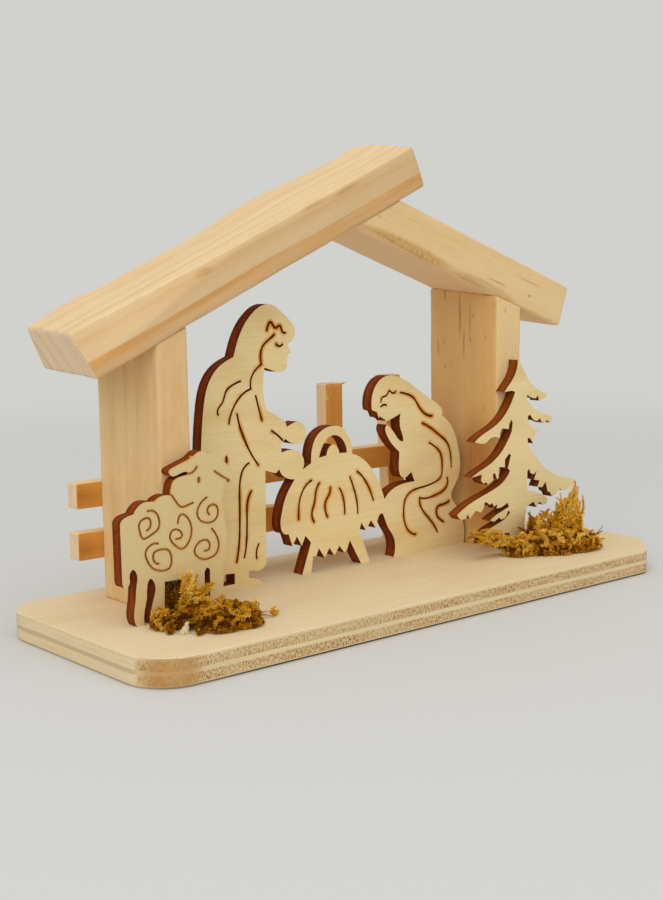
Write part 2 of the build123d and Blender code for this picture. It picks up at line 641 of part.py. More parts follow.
# Two rails across the backs of the posts, the lower one dropping a little to the right
rail_left = left_outer - rail_tail
rail_right = right_outer + rail_tail
rails = [
    ("lower_rail", base_top + lower_rail_height, lower_rail_width, lower_rail_drop),
    ("upper_rail", base_top + upper_rail_height, strip_width, 0),
]
for rail_name, rail_low, rail_width, rail_drop in rails:
    with BuildPart() as rail:
        with BuildSketch(facing(rail_back)):
            with BuildLine():
                Polyline(
                    (rail_left, rail_low), (rail_right, rail_low - rail_drop),
                    (rail_right, rail_low - rail_drop + rail_width), (rail_left, rail_low + rail_width),
                    close=True,
                )
            make_face()
        extrude(amount=strip_thickness)
        chamfer(rail.edges(), strip_arris)
    finish(rail, rail_name)

# Four pickets behind the rails, in pairs beside the posts, the last one leaning to the left
pickets = [
    ("picket_1", left_inner + picket_post_gap, picket_height, 0),
    ("picket_2", left_inner + picket_post_gap + picket_spacing, picket_height, 0),
    ("picket_3", right_inner - picket_post_gap - picket_spacing, short_picket_height, 0),
    ("picket_4", right_inner - leaning_post_gap, tall_picket_height, picket_lean),
]
for picket_name, foot_middle, picket_length, lean in pickets:
    foot_left = foot_middle - strip_width / 2
    foot_right = foot_middle + strip_width / 2
    picket_top = base_top + picket_length
    with BuildPart() as picket:
        with BuildSketch(facing(picket_back)):
            with BuildLine():
                Polyline(
                    (foot_left, base_top), (foot_right, base_top),
                    (foot_right - lean, picket_top), (foot_left - lean, picket_top),
                    close=True,
                )
            make_face()
        extrude(amount=strip_thickness)
        chamfer(picket.edges(), strip_arris)
    finish(picket, picket_name)

# Holy family in one plate: standing figure, manger with its handle, kneeling figure
family_place = (family_left, family_width, family_height)
with BuildPart() as holy_family_plate:
    with BuildSketch(facing(family_back)):
        for runs in (standing_shares, manger_shares, kneeling_shares):
            make_face(outline(runs, *family_place))
        for runs in (handle_shares, foot_gap_shares):
            make_face(outline(runs, *family_place), mode=Mode.SUBTRACT)
    extrude(amount=family_ply)
    for line_name, shares in standing_line_shares + manger_line_shares + kneeling_line_shares:
        with BuildSketch(facing(family_front - engraving_depth)):
            make_face(burnt_line(shares, *family_place))
        extrude(amount=-engraving_depth - engraving_depth, mode=Mode.SUBTRACT)
    with BuildSketch(facing(family_front - engraving_depth)):
        with Locations(*placed([robe_mark_share], *family_place)):
            Ellipse(robe_mark_width / 2, robe_mark_height / 2)
    extrude(amount=-engraving_depth - engraving_depth, mode=Mode.SUBTRACT)
finish(holy_family_plate, "holy_family_plate")

# Sheep in front of the left post
sheep_place = (sheep_left, sheep_width, sheep_height)
with BuildPart() as sheep_plate:
    with BuildSketch(facing(post_front)):
        make_face(outline(sheep_shares, *sheep_place))
    extrude(amount=figure_ply)
    for line_name, shares in sheep_line_shares + curl_shares:
        with BuildSketch(facing(figure_front - engraving_depth)):
            make_face(burnt_line(shares, *sheep_place))
        extrude(amount=-engraving_depth - engraving_depth, mode=Mode.SUBTRACT)
    with BuildSketch(facing(figure_front - engraving_depth)):
        with Locations(*placed([sheep_eye_share], *sheep_place)):
            Ellipse(sheep_eye_width / 2, sheep_eye_height / 2)
    extrude(amount=-engraving_depth - engraving_depth, mode=Mode.SUBTRACT)
finish(sheep_plate, "sheep_plate")

# Tree in front of the right post
with BuildPart() as tree_plate:
    with BuildSketch(facing(post_front)):
        make_face(outline(tree_shares, tree_left, tree_width, tree_height))
    extrude(amount=figure_ply)
finish(tree_plate, "tree_plate")

# Left moss clump before the sheep, with an upright sprig and a pocket for the glue
moss_back = figure_front - moss_gap
left_moss_start = sheep_left + left_moss_lead
left_sprig_x = left_moss_start + left_sprig_share[0] * left_moss_length
left_sprig_y = moss_back - left_sprig_share[1] * left_moss_depth
glue_x = left_moss_start + glue_share[0] * left_moss_length
glue_y = moss_back - glue_share[1] * left_moss_depth
with BuildPart() as moss_clump_left:
    for along_share, out_share, size_share in left_lump_shares:
        lump_x = left_moss_start + along_share * left_moss_length
        lump_y = moss_back - out_share * left_moss_depth
        with Locations((lump_x, lump_y, base_top)):
            Sphere(size_share * left_moss_height)
    with Locations((left_sprig_x, left_sprig_y, base_top + left_sprig_height / 2)):
        Cone(sprig_root_radius, sprig_tip_radius, left_sprig_height)
    split(bisect_by=Plane.XY.offset(base_top), keep=Keep.TOP)
    split(bisect_by=facing(moss_back), keep=Keep.TOP)
    with Locations((glue_x, glue_y, base_top)):
        Cylinder(glue_radius + moss_gap, left_sprig_height, mode=Mode.SUBTRACT)
finish(moss_clump_left, "moss_clump_left")

# Glue dab showing at the edge of the left clump
with BuildPart() as glue_dab:
    with BuildSketch(Plane.XY.offset(base_top)):
        with Locations((glue_x, glue_y)):
            Circle(glue_radius)
    extrude(amount=glue_height)
    fillet(glue_dab.faces().sort_by(Axis.Z)[-1].edges(), glue_crown)
finish(glue_dab, "glue_dab")

# Right moss clump before the tree, with an upright sprig and a strand reaching to the left
right_moss_start = right_inner - right_moss_lead
right_sprig_x = right_moss_start + right_sprig_share[0] * right_moss_length
right_sprig_y = moss_back - right_sprig_share[1] * right_moss_depth
strand_x = right_moss_start + strand_share[0] * right_moss_length
strand_y = moss_back - strand_share[1] * right_moss_depth
strand_way = Vector(-strand_length, 0, strand_drop)
strand_root = Vector(strand_x, strand_y, base_top + strand_root_radius)
with BuildPart() as moss_clump_right:
    for along_share, out_share, size_share in right_lump_shares:
        lump_x = right_moss_start + along_share * right_moss_length
        lump_y = moss_back - out_share * right_moss_depth
        with Locations((lump_x, lump_y, base_top)):
            Sphere(size_share * right_moss_height)
    with Locations((right_sprig_x, right_sprig_y, base_top + right_sprig_height / 2)):
        Cone(sprig_root_radius, sprig_tip_radius, right_sprig_height)
    with BuildSketch(Plane(strand_root, z_dir=strand_way)):
        Circle(strand_root_radius)
    with BuildSketch(Plane(strand_root + strand_way, z_dir=strand_way)):
        Circle(strand_tip_radius)
    loft()
    split(bisect_by=Plane.XY.offset(base_top), keep=Keep.TOP)
    split(bisect_by=facing(moss_back), keep=Keep.TOP)
finish(moss_clump_right, "moss_clump_right")
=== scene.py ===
import math
import random

import bmesh
import bpy
from bpy.props import FloatProperty, FloatVectorProperty, PointerProperty
from mathutils import Matrix, Vector
from mathutils.kdtree import KDTree


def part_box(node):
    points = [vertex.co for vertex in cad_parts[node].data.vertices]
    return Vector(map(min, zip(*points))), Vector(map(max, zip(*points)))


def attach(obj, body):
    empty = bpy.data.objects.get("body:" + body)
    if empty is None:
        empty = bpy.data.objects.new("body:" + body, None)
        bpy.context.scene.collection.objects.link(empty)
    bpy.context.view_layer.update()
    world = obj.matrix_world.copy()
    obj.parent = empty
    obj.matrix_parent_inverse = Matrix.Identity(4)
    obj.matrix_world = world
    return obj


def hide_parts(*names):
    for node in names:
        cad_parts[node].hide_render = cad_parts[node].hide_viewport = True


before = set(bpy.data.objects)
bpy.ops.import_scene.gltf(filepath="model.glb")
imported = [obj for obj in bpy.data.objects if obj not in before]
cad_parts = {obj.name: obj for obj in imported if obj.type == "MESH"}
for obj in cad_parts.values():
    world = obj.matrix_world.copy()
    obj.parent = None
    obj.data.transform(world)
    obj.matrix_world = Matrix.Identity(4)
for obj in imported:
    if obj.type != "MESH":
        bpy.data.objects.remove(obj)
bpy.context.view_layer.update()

bl_info = {
    "name": "Nativity Stable",
    "version": (1, 0, 0),
    "blender": (4, 5, 0),
    "location": "View3D > Sidebar > Stable",
    "description": "Dresses the wooden nativity stable in sawn pine, burnt plywood, moss and glue",
    "category": "Object",
}

mm = 0.001
left_pitch = math.radians(24.0)
right_pitch = math.radians(19.4)
upright = math.radians(90.0)
golden_turn = math.radians(137.5)
weld = mm / 1000


def tone(red, green, blue):
    """A colour mixed as 0 to 255 screen values, in the linear values that Blender keeps."""
    def linear(value):
        share = value / 255.0
        return share / 12.92 if share <= 0.04045 else ((share + 0.055) / 1.055) ** 2.4
    return linear(red), linear(green), linear(blue)


def colour(name, description, *values):
    """A colour property with its default given as screen values."""
    return FloatVectorProperty(
        name=name, description=description, subtype="COLOR", size=3, min=0.0, max=1.0, default=tone(*values))


def length(name, description, value):
    """A length property in metres."""
    return FloatProperty(
        name=name, description=description, unit="LENGTH", min=0.0, default=value, precision=5)


def amount(name, description, value, least=0.0):
    """A plain number property."""
    return FloatProperty(name=name, description=description, default=value, min=least)


class StablePine(bpy.types.PropertyGroup):
    """Solid pine of posts, roof boards, rails and pickets"""
    early: colour("Early wood", "Pale wood between the ring lines", 232, 202, 148)
    late: colour("Late wood", "Darker ring lines", 208, 164, 104)
    warm: colour("Warm streak", "Pinkish tan streaks", 218, 174, 116)
    heart: colour("Heartwood", "Orange band along the left roof board", 206, 146, 74)
    # The strip colours are partly the wood's own orange and partly painted shade with warm reflected light on
    # the fronts deep in the stable.
    strip_early_and_shade: colour("Strip early wood", "Fronts of rails and pickets", 230, 164, 76)
    strip_late_and_shade: colour("Strip late wood", "Ring lines of rails and pickets", 204, 126, 40)
    # The strip side colour is painted light on faces of rails and pickets not turned to the front, and on the
    # underside of the right roof board.
    painted_light_tone: colour("Strip side", "Pale sides of rails and pickets", 250, 216, 168)
    roof_early: colour("Roof wood", "Pale wood of the left roof board", 229, 203, 158)
    # The roof front colour is painted shade on the front faces of the left roof board.
    roof_front_shade: colour("Roof front", "Front of the left roof board", 200, 156, 100)
    # The right post's colour is partly its own more orange wood and partly painted shade under the roof.
    right_wood_and_shade: colour("Right post wood", "Tan wood of the right post", 228, 184, 116)
    pore: colour("Pore", "Resin flecks and cracks", 150, 92, 42)
    knot: colour("Knot", "Soft ochre streaks beside small knots", 190, 142, 82)
    torn: colour("Torn fibres", "Golden brown fibres torn by the saw", 186, 140, 66)
    # The stain colour is used for resin stains and, low on the right post, partly for painted shade.
    stain_and_shade: colour("Stain", "Orange brown resin stain", 166, 96, 30)
    splinter: colour("Splinter", "Golden torn splinters", 238, 196, 98)
    end_pale: colour("End grain", "Sawn end grain between the rings", 233, 206, 170)
    end_dark: colour("End rings", "Ring lines in the end grain", 202, 164, 122)
    ring: length("Ring spacing", "Mean distance between growth rings", 4.6 * mm)
    grid: length("Grid", "Grid of the reworked boards and posts", 0.5 * mm)
    strip_grid: length("Strip grid", "Grid of the reworked rails and pickets", 0.27 * mm)
    uneven: length("Unevenness", "How far a sawn face leaves its plane", 0.3 * mm)


class StableBase(bpy.types.PropertyGroup):
    """Five-ply base board"""
    face: colour("Face veneer", "Top and bottom of the board", 230, 209, 170)
    face_line: colour("Face grain", "Fine grain lines of the face veneer", 218, 191, 144)
    long_edge: colour("Long grain edge", "Plies cut along their grain", 228, 208, 166)
    end_edge: colour("End grain edge", "Plies cut across their grain", 190, 148, 92)
    pit: colour("Pit", "Dark pits in the end grain", 134, 84, 34)
    shade: colour("Centre ply end", "Grey brown line of the centre ply at the short ends", 184, 158, 120)
    corner: colour("Corner", "Tan of the sawn front left corner", 184, 136, 74)
    scorch: colour("Scorch", "Brown marks on the front left corner", 196, 118, 48)
    # The lower arris colour is painted shade where the board meets the floor.
    lower_arris_shade: colour("Grime", "Dirty lower arris", 84, 62, 40)


class StableFigures(bpy.types.PropertyGroup):
    """Laser cut plywood figures"""
    face: colour("Face", "Pale face of the plates", 235, 213, 158)
    dull: colour("Dull face", "Face of the sheep", 216, 194, 142)
    face_line: colour("Face grain", "Fine lying grain of the plates", 219, 187, 120)
    halo: colour("Scorch halo", "Orange face beside a burnt line", 216, 146, 50)
    ember: colour("Ember line", "Rim of a burnt line", 172, 88, 14)
    groove: colour("Burnt line", "Bottom of a burnt line", 80, 34, 4)
    scar: colour("Light line", "Bottom of a lightly burnt line", 228, 172, 90)
    wall: colour("Burnt edge", "Outer plies of the burnt edge", 112, 44, 2)
    wall_core: colour("Burnt core", "Middle ply of the burnt edge", 150, 68, 5)
    singed: colour("Singed edge", "Edge less burnt by the laser", 176, 118, 52)
    reach: length("Halo width", "How far the scorch reaches from a burnt line", 0.85 * mm)


class StableMoss(bpy.types.PropertyGroup):
    """Dry moss clumps and the glue under them"""
    # The deep brown of the inner strands is partly painted shade inside the clump, and the gold and straw on
    # top are partly painted light.
    deep: colour("Deep moss", "Brown inner strands", 84, 44, 2)
    ochre: colour("Ochre moss", "Most strands", 186, 120, 10)
    gold: colour("Golden moss", "Bright strands on top", 228, 172, 40)
    straw: colour("Straw tips", "Palest leaflets", 244, 210, 104)
    glue: colour("Glue", "Set glue", 206, 188, 150)
    under_gap: amount("Under layer", "Millimetres between the inner strands", 1.5, 0.1)
    over_gap: amount("Top layer", "Millimetres between the outer strands", 1.9, 0.1)
    leaf: length("Leaflet", "Length of a leaflet", 0.90 * mm)
    girth: length("Strand", "Radius of a strand under its leaflets", 0.18 * mm)
    step: length("Leaflet spacing", "Distance between whorls of leaflets", 0.26 * mm)


class StableStage(bpy.types.PropertyGroup):
    """Floor, lamps and camera"""
    floor: colour("Floor", "Floor and background", 209, 209, 206)
    lens: amount("Lens", "Focal length on a 36 mm frame", 54.42, 1.0)
    world: amount("Sky", "Strength of the even light", 0.60)
    over: amount("Overhead lamp", "Watts of the overhead lamp", 3.7)
    side: amount("Side lamp", "Watts of the lamp on the left", 3.2)
    front: amount("Front lamp", "Watts of the lamp before the stable", 1.4)


class Nodes:
    """A tree of nodes being built: nodes are added by kind and fed by number, colour or socket."""

    def __init__(self, tree):
        self.tree = tree

    def add(self, kind, feeds=(), **settings):
        """A new node with its settings, and its sockets fed by place or by name."""
        node = self.tree.nodes.new(kind)
        for name, value in settings.items():
            setattr(node, name, value)
        for socket, value in feeds.items() if isinstance(feeds, dict) else enumerate(feeds):
            self.feed(node.inputs[socket], value)
        return node

    def feed(self, socket, value):
        if isinstance(value, bpy.types.NodeSocket):
            self.tree.links.new(value, socket)
        elif socket.type == "RGBA":
            socket.default_value = (*value, 1.0)
        else:
            socket.default_value = value

    def number(self, operation, first, second=0.0):
        return self.add("ShaderNodeMath", (first, second), operation=operation).outputs[0]


class Finish(Nodes):
    """A finish being mixed from the places and normals of a surface."""

    def __init__(self, name, roughness, shine=0.2):
        self.material = bpy.data.materials.new(name)
        self.material.use_nodes = True
        super().__init__(self.material.node_tree)
        self.shader = self.tree.nodes["Principled BSDF"]
        self.gloss(roughness)
        self.feed(self.shader.inputs["Specular IOR Level"], shine)
        self.source = self.add("ShaderNodeTexCoord")

    def place(self, turn=0.0):
        """Object coordinates in millimetres, turned about the depth axis so that the grain runs along X."""
        feeds = {"Vector": self.source.outputs["Object"], "Scale": (1.0 / mm,) * 3,
                 "Rotation": (0.0, turn, 0.0)}
        return self.add("ShaderNodeMapping", feeds).outputs["Vector"]

    def normal(self, turn):
        """The surface's own normal, turned as the grain is."""
        feeds = {"Vector": self.source.outputs["Normal"], "Angle": turn}
        return self.add("ShaderNodeVectorRotate", feeds, rotation_type="Y_AXIS").outputs["Vector"]

    def times(self, first, second):
        return self.number("MULTIPLY", first, second)

    def plus(self, first, second):
        return self.number("ADD", first, second)

    def minus(self, first, second):
        return self.number("SUBTRACT", first, second)

    def size(self, value):
        return self.number("ABSOLUTE", value)

    def vector(self, operation, *values):
        node = self.add("ShaderNodeVectorMath", values, operation=operation)
        return node.outputs["Value" if operation == "LENGTH" else "Vector"]

    def parts(self, vector):
        return self.add("ShaderNodeSeparateXYZ", (vector,)).outputs

    def facing(self):
        """The three parts of the surface's own normal."""
        return self.parts(self.source.outputs["Normal"])

    def cloud(self, place, stretch, detail=2.0, roughness=0.5, out=0):
        """Noise with its grain size given by the stretch of each axis, per millimetre."""
        feeds = {"Vector": self.vector("MULTIPLY", place, stretch), "Scale": 1.0,
                 "Detail": detail, "Roughness": roughness}
        return self.add("ShaderNodeTexNoise", feeds).outputs[out]

    def swing(self, value, rate):
        """Slow noise along one number."""
        return self.add("ShaderNodeTexNoise", {"W": value, "Scale": rate}, noise_dimensions="1D").outputs[0]

    def rise(self, value, low, high, first=0.0, last=1.0):
        """A smooth step from first to last while the value goes from low to high."""
        feeds = value, low, high, first, last
        return self.add("ShaderNodeMapRange", feeds, interpolation_type="SMOOTHSTEP").outputs[0]

    def fall(self, value, low, high):
        """A smooth step from one to nothing while the value goes from low to high."""
        return self.rise(value, low, high, 1.0, 0.0)

    def blend(self, share, under, over):
        return self.add("ShaderNodeMix", {0: share, 6: under, 7: over}, data_type="RGBA").outputs[2]

    def veil(self, value, low, high, most, under, over):
        """Lays one colour over another while the value goes from low to high, up to the most share."""
        return self.blend(self.rise(value, low, high, 0.0, most), under, over)

    def ramp(self, value, stops):
        node = self.add("ShaderNodeValToRGB", (value,))
        elements = node.color_ramp.elements
        while len(elements) < len(stops):
            elements.new(1.0)
        for element, (position, values) in zip(elements, stops):
            element.position = position
            element.color = (*values, 1.0)
        return node.outputs[0]

    def spot(self, place, centre, reach, core=0.3):
        """One inside an ellipsoid about the centre, fading to nothing at its reach along each axis."""
        offset = self.vector("SUBTRACT", place, centre)
        share = self.vector("LENGTH", self.vector("DIVIDE", offset, reach))
        return self.fall(share, core, 1.0)

    def colour(self, value):
        self.feed(self.shader.inputs["Base Color"], value)

    def bump(self, height, depth, strength):
        node = self.add("ShaderNodeBump", {"Height": height, "Distance": depth, "Strength": strength})
        self.feed(self.shader.inputs["Normal"], node.outputs[0])

    def gloss(self, value):
        self.feed(self.shader.inputs["Roughness"], value)


def pine(name, wood, early, late, turn, pith, seed, stripes=(), stains_and_shade=(), marks=(), torn=(),
         rings=0.5, warmth=0.5, flecks=0.5, front=None, painted_front_share=0.0, painted_light_sides=0.0, painted_light_under=0.0):
    """Sawn pine: growth rings round a pith beside the piece, fibres, resin flecks, knots and end grain."""
    mix = Finish(name, 0.72)
    place = mix.place(turn)
    grain = mix.vector("ADD", place, (seed * 41.0, seed * 17.0, seed * 7.0))
    drift = mix.vector("SUBTRACT", mix.cloud(grain, (0.018, 0.09, 0.09), 2.0, 0.5, 1), (0.5, 0.5, 0.5))
    bent = mix.vector("ADD", place, mix.vector("MULTIPLY", drift, (0.0, 4.0, 4.0)))
    across = mix.vector("MULTIPLY", mix.vector("SUBTRACT", bent, (0.0, *pith)), (0.0, 1.0, 1.0))
    radius = mix.vector("LENGTH", across)
    count = mix.number("DIVIDE", radius, wood.ring / mm)
    count = mix.plus(count, mix.times(mix.swing(radius, 0.22), 2.4))
    share = mix.number("FRACT", count)
    strength = mix.rise(mix.swing(radius, 0.31), 0.3, 0.7, 0.2, 1.0)
    late_share = mix.times(mix.rise(share, 0.10, 0.86), mix.fall(share, 0.84, 1.0))
    late_share = mix.times(late_share, strength)
    tint = mix.blend(mix.times(late_share, rings), early, late)

    streak = mix.rise(mix.cloud(grain, (0.010, 0.11, 0.13), 3.0, 0.45), 0.40, 0.66, 0.0, warmth)
    tint = mix.blend(streak, tint, wood.warm)
    fibre = mix.cloud(grain, (0.06, 1.7, 1.7), 4.0, 0.6)
    tint = mix.veil(fibre, 0.36, 0.74, 0.24, tint, late)
    thread = mix.cloud(grain, (0.14, 4.5, 4.5), 2.0)
    tint = mix.veil(thread, 0.52, 0.7, 0.25, tint, early)
    cloudy = mix.cloud(grain, (0.09, 0.2, 0.2), 3.0, 0.6)
    tint = mix.veil(cloudy, 0.40, 0.66, 0.35, tint, early)
    # Faces turned to the front take the front colour by its share: painted light where that colour is paler,
    # painted shade where it is darker.
    facing = mix.fall(mix.facing()[1], -0.9, -0.6)
    if front is not None:
        tint = mix.blend(mix.times(facing, painted_front_share), tint, front)
    run, aside, rise = mix.parts(place)
    for level, half, slant, drop, curve, depth in stripes:
        height = mix.plus(rise, mix.times(aside, slant))
        bow = mix.times(mix.plus(mix.times(run, curve), drop), run)
        sway = mix.times(mix.parts(drift)[2], 2.0)
        off = mix.plus(mix.minus(height, bow), mix.minus(sway, level))
        crest = half * 0.7
        patch = mix.rise(mix.cloud(grain, (0.03, 0.5, 0.5), 3.0), 0.30, 0.60, 0.55, 1.0)
        band = mix.times(mix.rise(off, -half * 2.0, crest), mix.fall(off, crest, half))
        tint = mix.blend(mix.times(mix.times(band, patch), depth), tint, wood.heart)
    # Spots of the stain colour: resin stains and, at the foot of the right post, partly painted shade.
    for centre, reach, depth in stains_and_shade:
        stain_and_shade = mix.times(mix.spot(place, centre, reach, 0.2), mix.rise(fibre, 0.3, 0.7, 0.75, 1.0))
        tint = mix.blend(mix.times(stain_and_shade, depth), tint, wood.stain_and_shade)
    fleck = mix.rise(mix.cloud(grain, (0.26, 2.1, 2.1), 1.0), 0.71, 0.79, 0.0, flecks)
    tint = mix.blend(fleck, tint, wood.pore)
    for centre, reach, depth in marks:
        mark = mix.times(mix.spot(place, centre, reach), depth)
        mark = mix.times(mark, mix.rise(fibre, 0.3, 0.6, 0.6, 1.0))
        tint = mix.blend(mark, tint, wood.knot)
    rough = 0.0
    for centre, reach in torn:
        hairs = mix.rise(mix.cloud(place, (3.2, 0.5, 0.5), 2.0, 0.6), 0.36, 0.64, 0.45, 1.0)
        tear = mix.times(mix.spot(place, centre, reach, 0.45), hairs)
        tint = mix.blend(mix.times(tear, 0.9), tint, wood.torn)
        rough = mix.plus(mix.times(tear, 0.12), rough)
    # Faces not turned to the front are painted paler as painted light.
    if painted_light_sides:
        side_tint = mix.veil(fibre, 0.36, 0.74, 0.4, wood.painted_light_tone, wood.warm)
        side_share = mix.times(mix.minus(1.0, facing), painted_light_sides)
        tint = mix.blend(side_share, tint, side_tint)
    # Faces turned down are painted paler as painted light.
    if painted_light_under:
        under = mix.rise(mix.facing()[2], -0.9, -0.6, painted_light_under, 0.0)
        tint = mix.blend(under, tint, wood.painted_light_tone)

    along = mix.size(mix.parts(mix.normal(turn))[0])
    ends = mix.rise(along, 0.72, 0.93)
    dots = mix.cloud(place, (1.6, 2.2, 2.2), 3.0, 0.65)
    end_tint = mix.blend(mix.times(late_share, 0.75), wood.end_pale, wood.end_dark)
    end_tint = mix.veil(dots, 0.45, 0.72, 0.35, end_tint, wood.end_dark)
    mix.colour(mix.blend(ends, tint, end_tint))
    mix.gloss(mix.rise(fibre, 0.3, 0.7, 0.64, 0.80))
    height = mix.plus(fibre, mix.times(thread, 0.5))
    height = mix.minus(height, mix.times(fleck, 0.6))
    mix.bump(mix.minus(height, rough), 0.14 * mm, 0.5)
    return mix.material


def ply(name, base, thick, middle):
    """A ply of the base: its face, the edge cut along its grain and the pitted edge cut across it."""
    mix = Finish(name, 0.70)
    place = mix.place()
    across = mix.facing()
    along = (0.05, 1.5, 1.5) if not thick else (1.5, 0.05, 1.5)
    fibre = mix.cloud(place, along, 4.0, 0.6)
    broad = mix.cloud(place, (0.02, 0.07, 0.07), 3.0)
    dash = mix.cloud(place, (0.30, 3.2, 3.2), 1.0)
    face = mix.veil(fibre, 0.38, 0.70, 0.30, base.face, base.face_line)
    face = mix.veil(broad, 0.42, 0.66, 0.40, face, base.face_line)
    face = mix.veil(dash, 0.62, 0.74, 0.22, face, base.end_edge)

    long_grain = mix.veil(fibre, 0.40, 0.68, 0.6, base.long_edge, base.face_line)
    pits = mix.cloud(place, (2.8, 2.8, 1.4), 2.0, 0.7)
    patch = mix.rise(mix.cloud(place, (0.10, 0.10, 0.3), 3.0), 0.36, 0.64)
    cut = mix.blend(mix.times(patch, 0.3), base.end_edge, base.long_edge)
    cut = mix.veil(pits, 0.46, 0.58, 0.75, cut, base.long_edge)
    dark = mix.times(mix.rise(pits, 0.36, 0.46, 0.75, 0.0), mix.rise(patch, 0.0, 1.0, 1.0, 0.6))
    cut = mix.blend(dark, cut, base.pit)
    sideways = mix.rise(mix.size(across[0]), 0.90, 0.985)
    if thick:
        edge = mix.blend(sideways, cut, long_grain)
    else:
        edge = mix.blend(mix.times(sideways, 0.6 if middle else 0.1), long_grain, base.shade)
    burnt = mix.spot(place, (-76.7, -27.6, 3.0), (2.3, 2.3, 4.0), 0.1)
    mottle = mix.rise(mix.cloud(place, (0.9, 0.9, 0.9), 2.0), 0.30, 0.62)
    burnt = mix.times(burnt, mix.times(mottle, 0.8 if thick else 0.15))
    edge = mix.blend(burnt, edge, base.scorch)
    corner = mix.spot(place, (-76.0, -30.0, 3.0), (9.0, 9.0, 9.0), 0.45)
    corner = mix.times(corner, mix.rise(sideways, 0.0, 1.0, 0.75, 0.0))
    edge = mix.blend(corner, edge, base.corner)
    flat = mix.rise(mix.size(across[2]), 0.4, 0.8)
    tint = mix.blend(flat, edge, face)
    # The down-turned lower arris is darkened as painted shade, most on the front and least at the left end.
    foot = mix.times(mix.fall(across[2], -0.6, -0.3), mix.rise(across[2], -0.95, -0.8))
    foot = mix.times(foot, mix.rise(mix.parts(place)[0], -80.0, -50.0, 0.35, 0.9))
    foot = mix.times(foot, mix.rise(across[1], -0.6, -0.2, 1.0, 0.15))
    mix.colour(mix.blend(foot, tint, base.lower_arris_shade))
    mix.gloss(mix.rise(fibre, 0.3, 0.7, 0.60, 0.78))
    rough = mix.times(pits, mix.minus(1.0, flat))
    mix.bump(mix.plus(mix.times(fibre, 0.4), rough), 0.16 * mm, 0.5)
    return mix.material


def burnt_ply(name, figures, pale_face, front, thick, seed, char, singe):
    """Laser cut plywood: pale grained faces, scorched beside every burnt line, and burnt edges."""
    mix = Finish(name, 0.66, 0.12)
    place = mix.place()
    grain = mix.vector("ADD", place, (seed * 53.0, 0.0, seed * 19.0))
    facing = mix.facing()[1]
    depth = mix.minus(mix.parts(place)[1], front)
    fibre = mix.cloud(grain, (0.06, 0.6, 1.9), 4.0, 0.62)
    broad = mix.cloud(grain, (0.03, 0.1, 0.12), 3.0)
    dash = mix.cloud(grain, (0.34, 1.0, 3.6), 1.0)
    face = mix.veil(fibre, 0.42, 0.74, 0.36, pale_face, figures.face_line)
    face = mix.veil(broad, 0.42, 0.68, 0.55, face, figures.face_line)
    face = mix.veil(dash, 0.64, 0.76, 0.22, face, figures.halo)

    scorch = mix.add("ShaderNodeAttribute", attribute_name="scorch").outputs["Fac"]
    smoke = mix.cloud(grain, (0.16, 0.16, 0.16), 3.0)
    heat = mix.times(mix.rise(smoke, 0.40, 0.62, 0.12, 1.0), char)
    speck = mix.times(mix.minus(mix.cloud(grain, (2.0, 2.0, 3.0), 2.0), 0.5), 0.5)
    burn = mix.plus(scorch, mix.times(speck, scorch))
    face = mix.blend(mix.times(mix.rise(burn, 0.10, 0.85), heat), face, figures.halo)
    face = mix.blend(mix.times(mix.rise(burn, 0.76, 1.10), heat), face, figures.ember)

    sunk = mix.times(mix.rise(depth, 0.10, 0.22), mix.fall(facing, -0.6, -0.4))
    pale = mix.rise(mix.cloud(grain, (0.25, 0.25, 0.25), 3.0), 0.40, 0.68)
    scar = mix.blend(char, figures.scar, mix.blend(pale, figures.groove, figures.ember))
    face = mix.blend(sunk, face, scar)
    comb = mix.cloud(grain, (3.4, 0.3, 3.4), 3.0, 0.65)
    soot = mix.cloud(grain, (0.35, 0.9, 0.35), 3.0)
    crumb = mix.cloud(grain, (2.6, 2.6, 2.6), 2.0, 0.7)
    core = mix.times(mix.rise(depth, thick * 0.25, thick * 0.35), mix.fall(depth, thick * 0.65, thick * 0.75))
    wall = mix.blend(mix.times(core, 0.6), figures.wall, figures.wall_core)
    wall = mix.veil(comb, 0.44, 0.68, 0.6, wall, figures.groove)
    wall = mix.veil(soot, 0.42, 0.70, 0.6, wall, figures.wall_core)
    wall = mix.veil(crumb, 0.55, 0.75, 0.5, wall, figures.wall_core)
    rims = mix.size(mix.minus(depth, thick / 2))
    rims = mix.rise(rims, thick / 2 - 0.35, thick / 2, 0.0, 0.7)
    wall = mix.blend(rims, wall, figures.groove)
    line = mix.blend(mix.rise(depth, 0.02, 0.40), mix.blend(char, figures.halo, figures.ember), scar)
    wall = mix.blend(singe, figures.singed, wall)
    wall = mix.blend(mix.rise(scorch, 0.45, 0.55), wall, line)
    sides = mix.fall(mix.size(facing), 0.45, 0.75)
    mix.colour(mix.blend(sides, face, wall))
    mix.gloss(mix.rise(sides, 0.0, 1.0, 0.62, 0.80))
    height = mix.plus(mix.times(fibre, 0.5), mix.times(comb, sides))
    mix.bump(height, 0.12 * mm, 0.5)
    return mix.material


def moss_finish(moss):
    """Dry moss, from deep brown inside the clump to golden tips, by the tint kept on each strand; the brown
    inside is partly painted shade and the gold on top partly painted light.
    """
    mix = Finish("moss_dry", 0.85, 0.06)
    tint = mix.add("ShaderNodeAttribute", attribute_name="tint").outputs["Fac"]
    place = mix.place()
    patch = mix.minus(mix.cloud(place, (0.4, 0.4, 0.4), 3.0), 0.5)
    share = mix.plus(tint, mix.times(patch, 0.5))
    stops = (0.05, moss.deep), (0.40, moss.ochre), (0.72, moss.gold), (1.0, moss.straw)
    mix.colour(mix.ramp(share, stops))
    mix.bump(mix.cloud(place, (3.0, 3.0, 3.0), 2.0), 0.1 * mm, 0.4)
    return mix.material


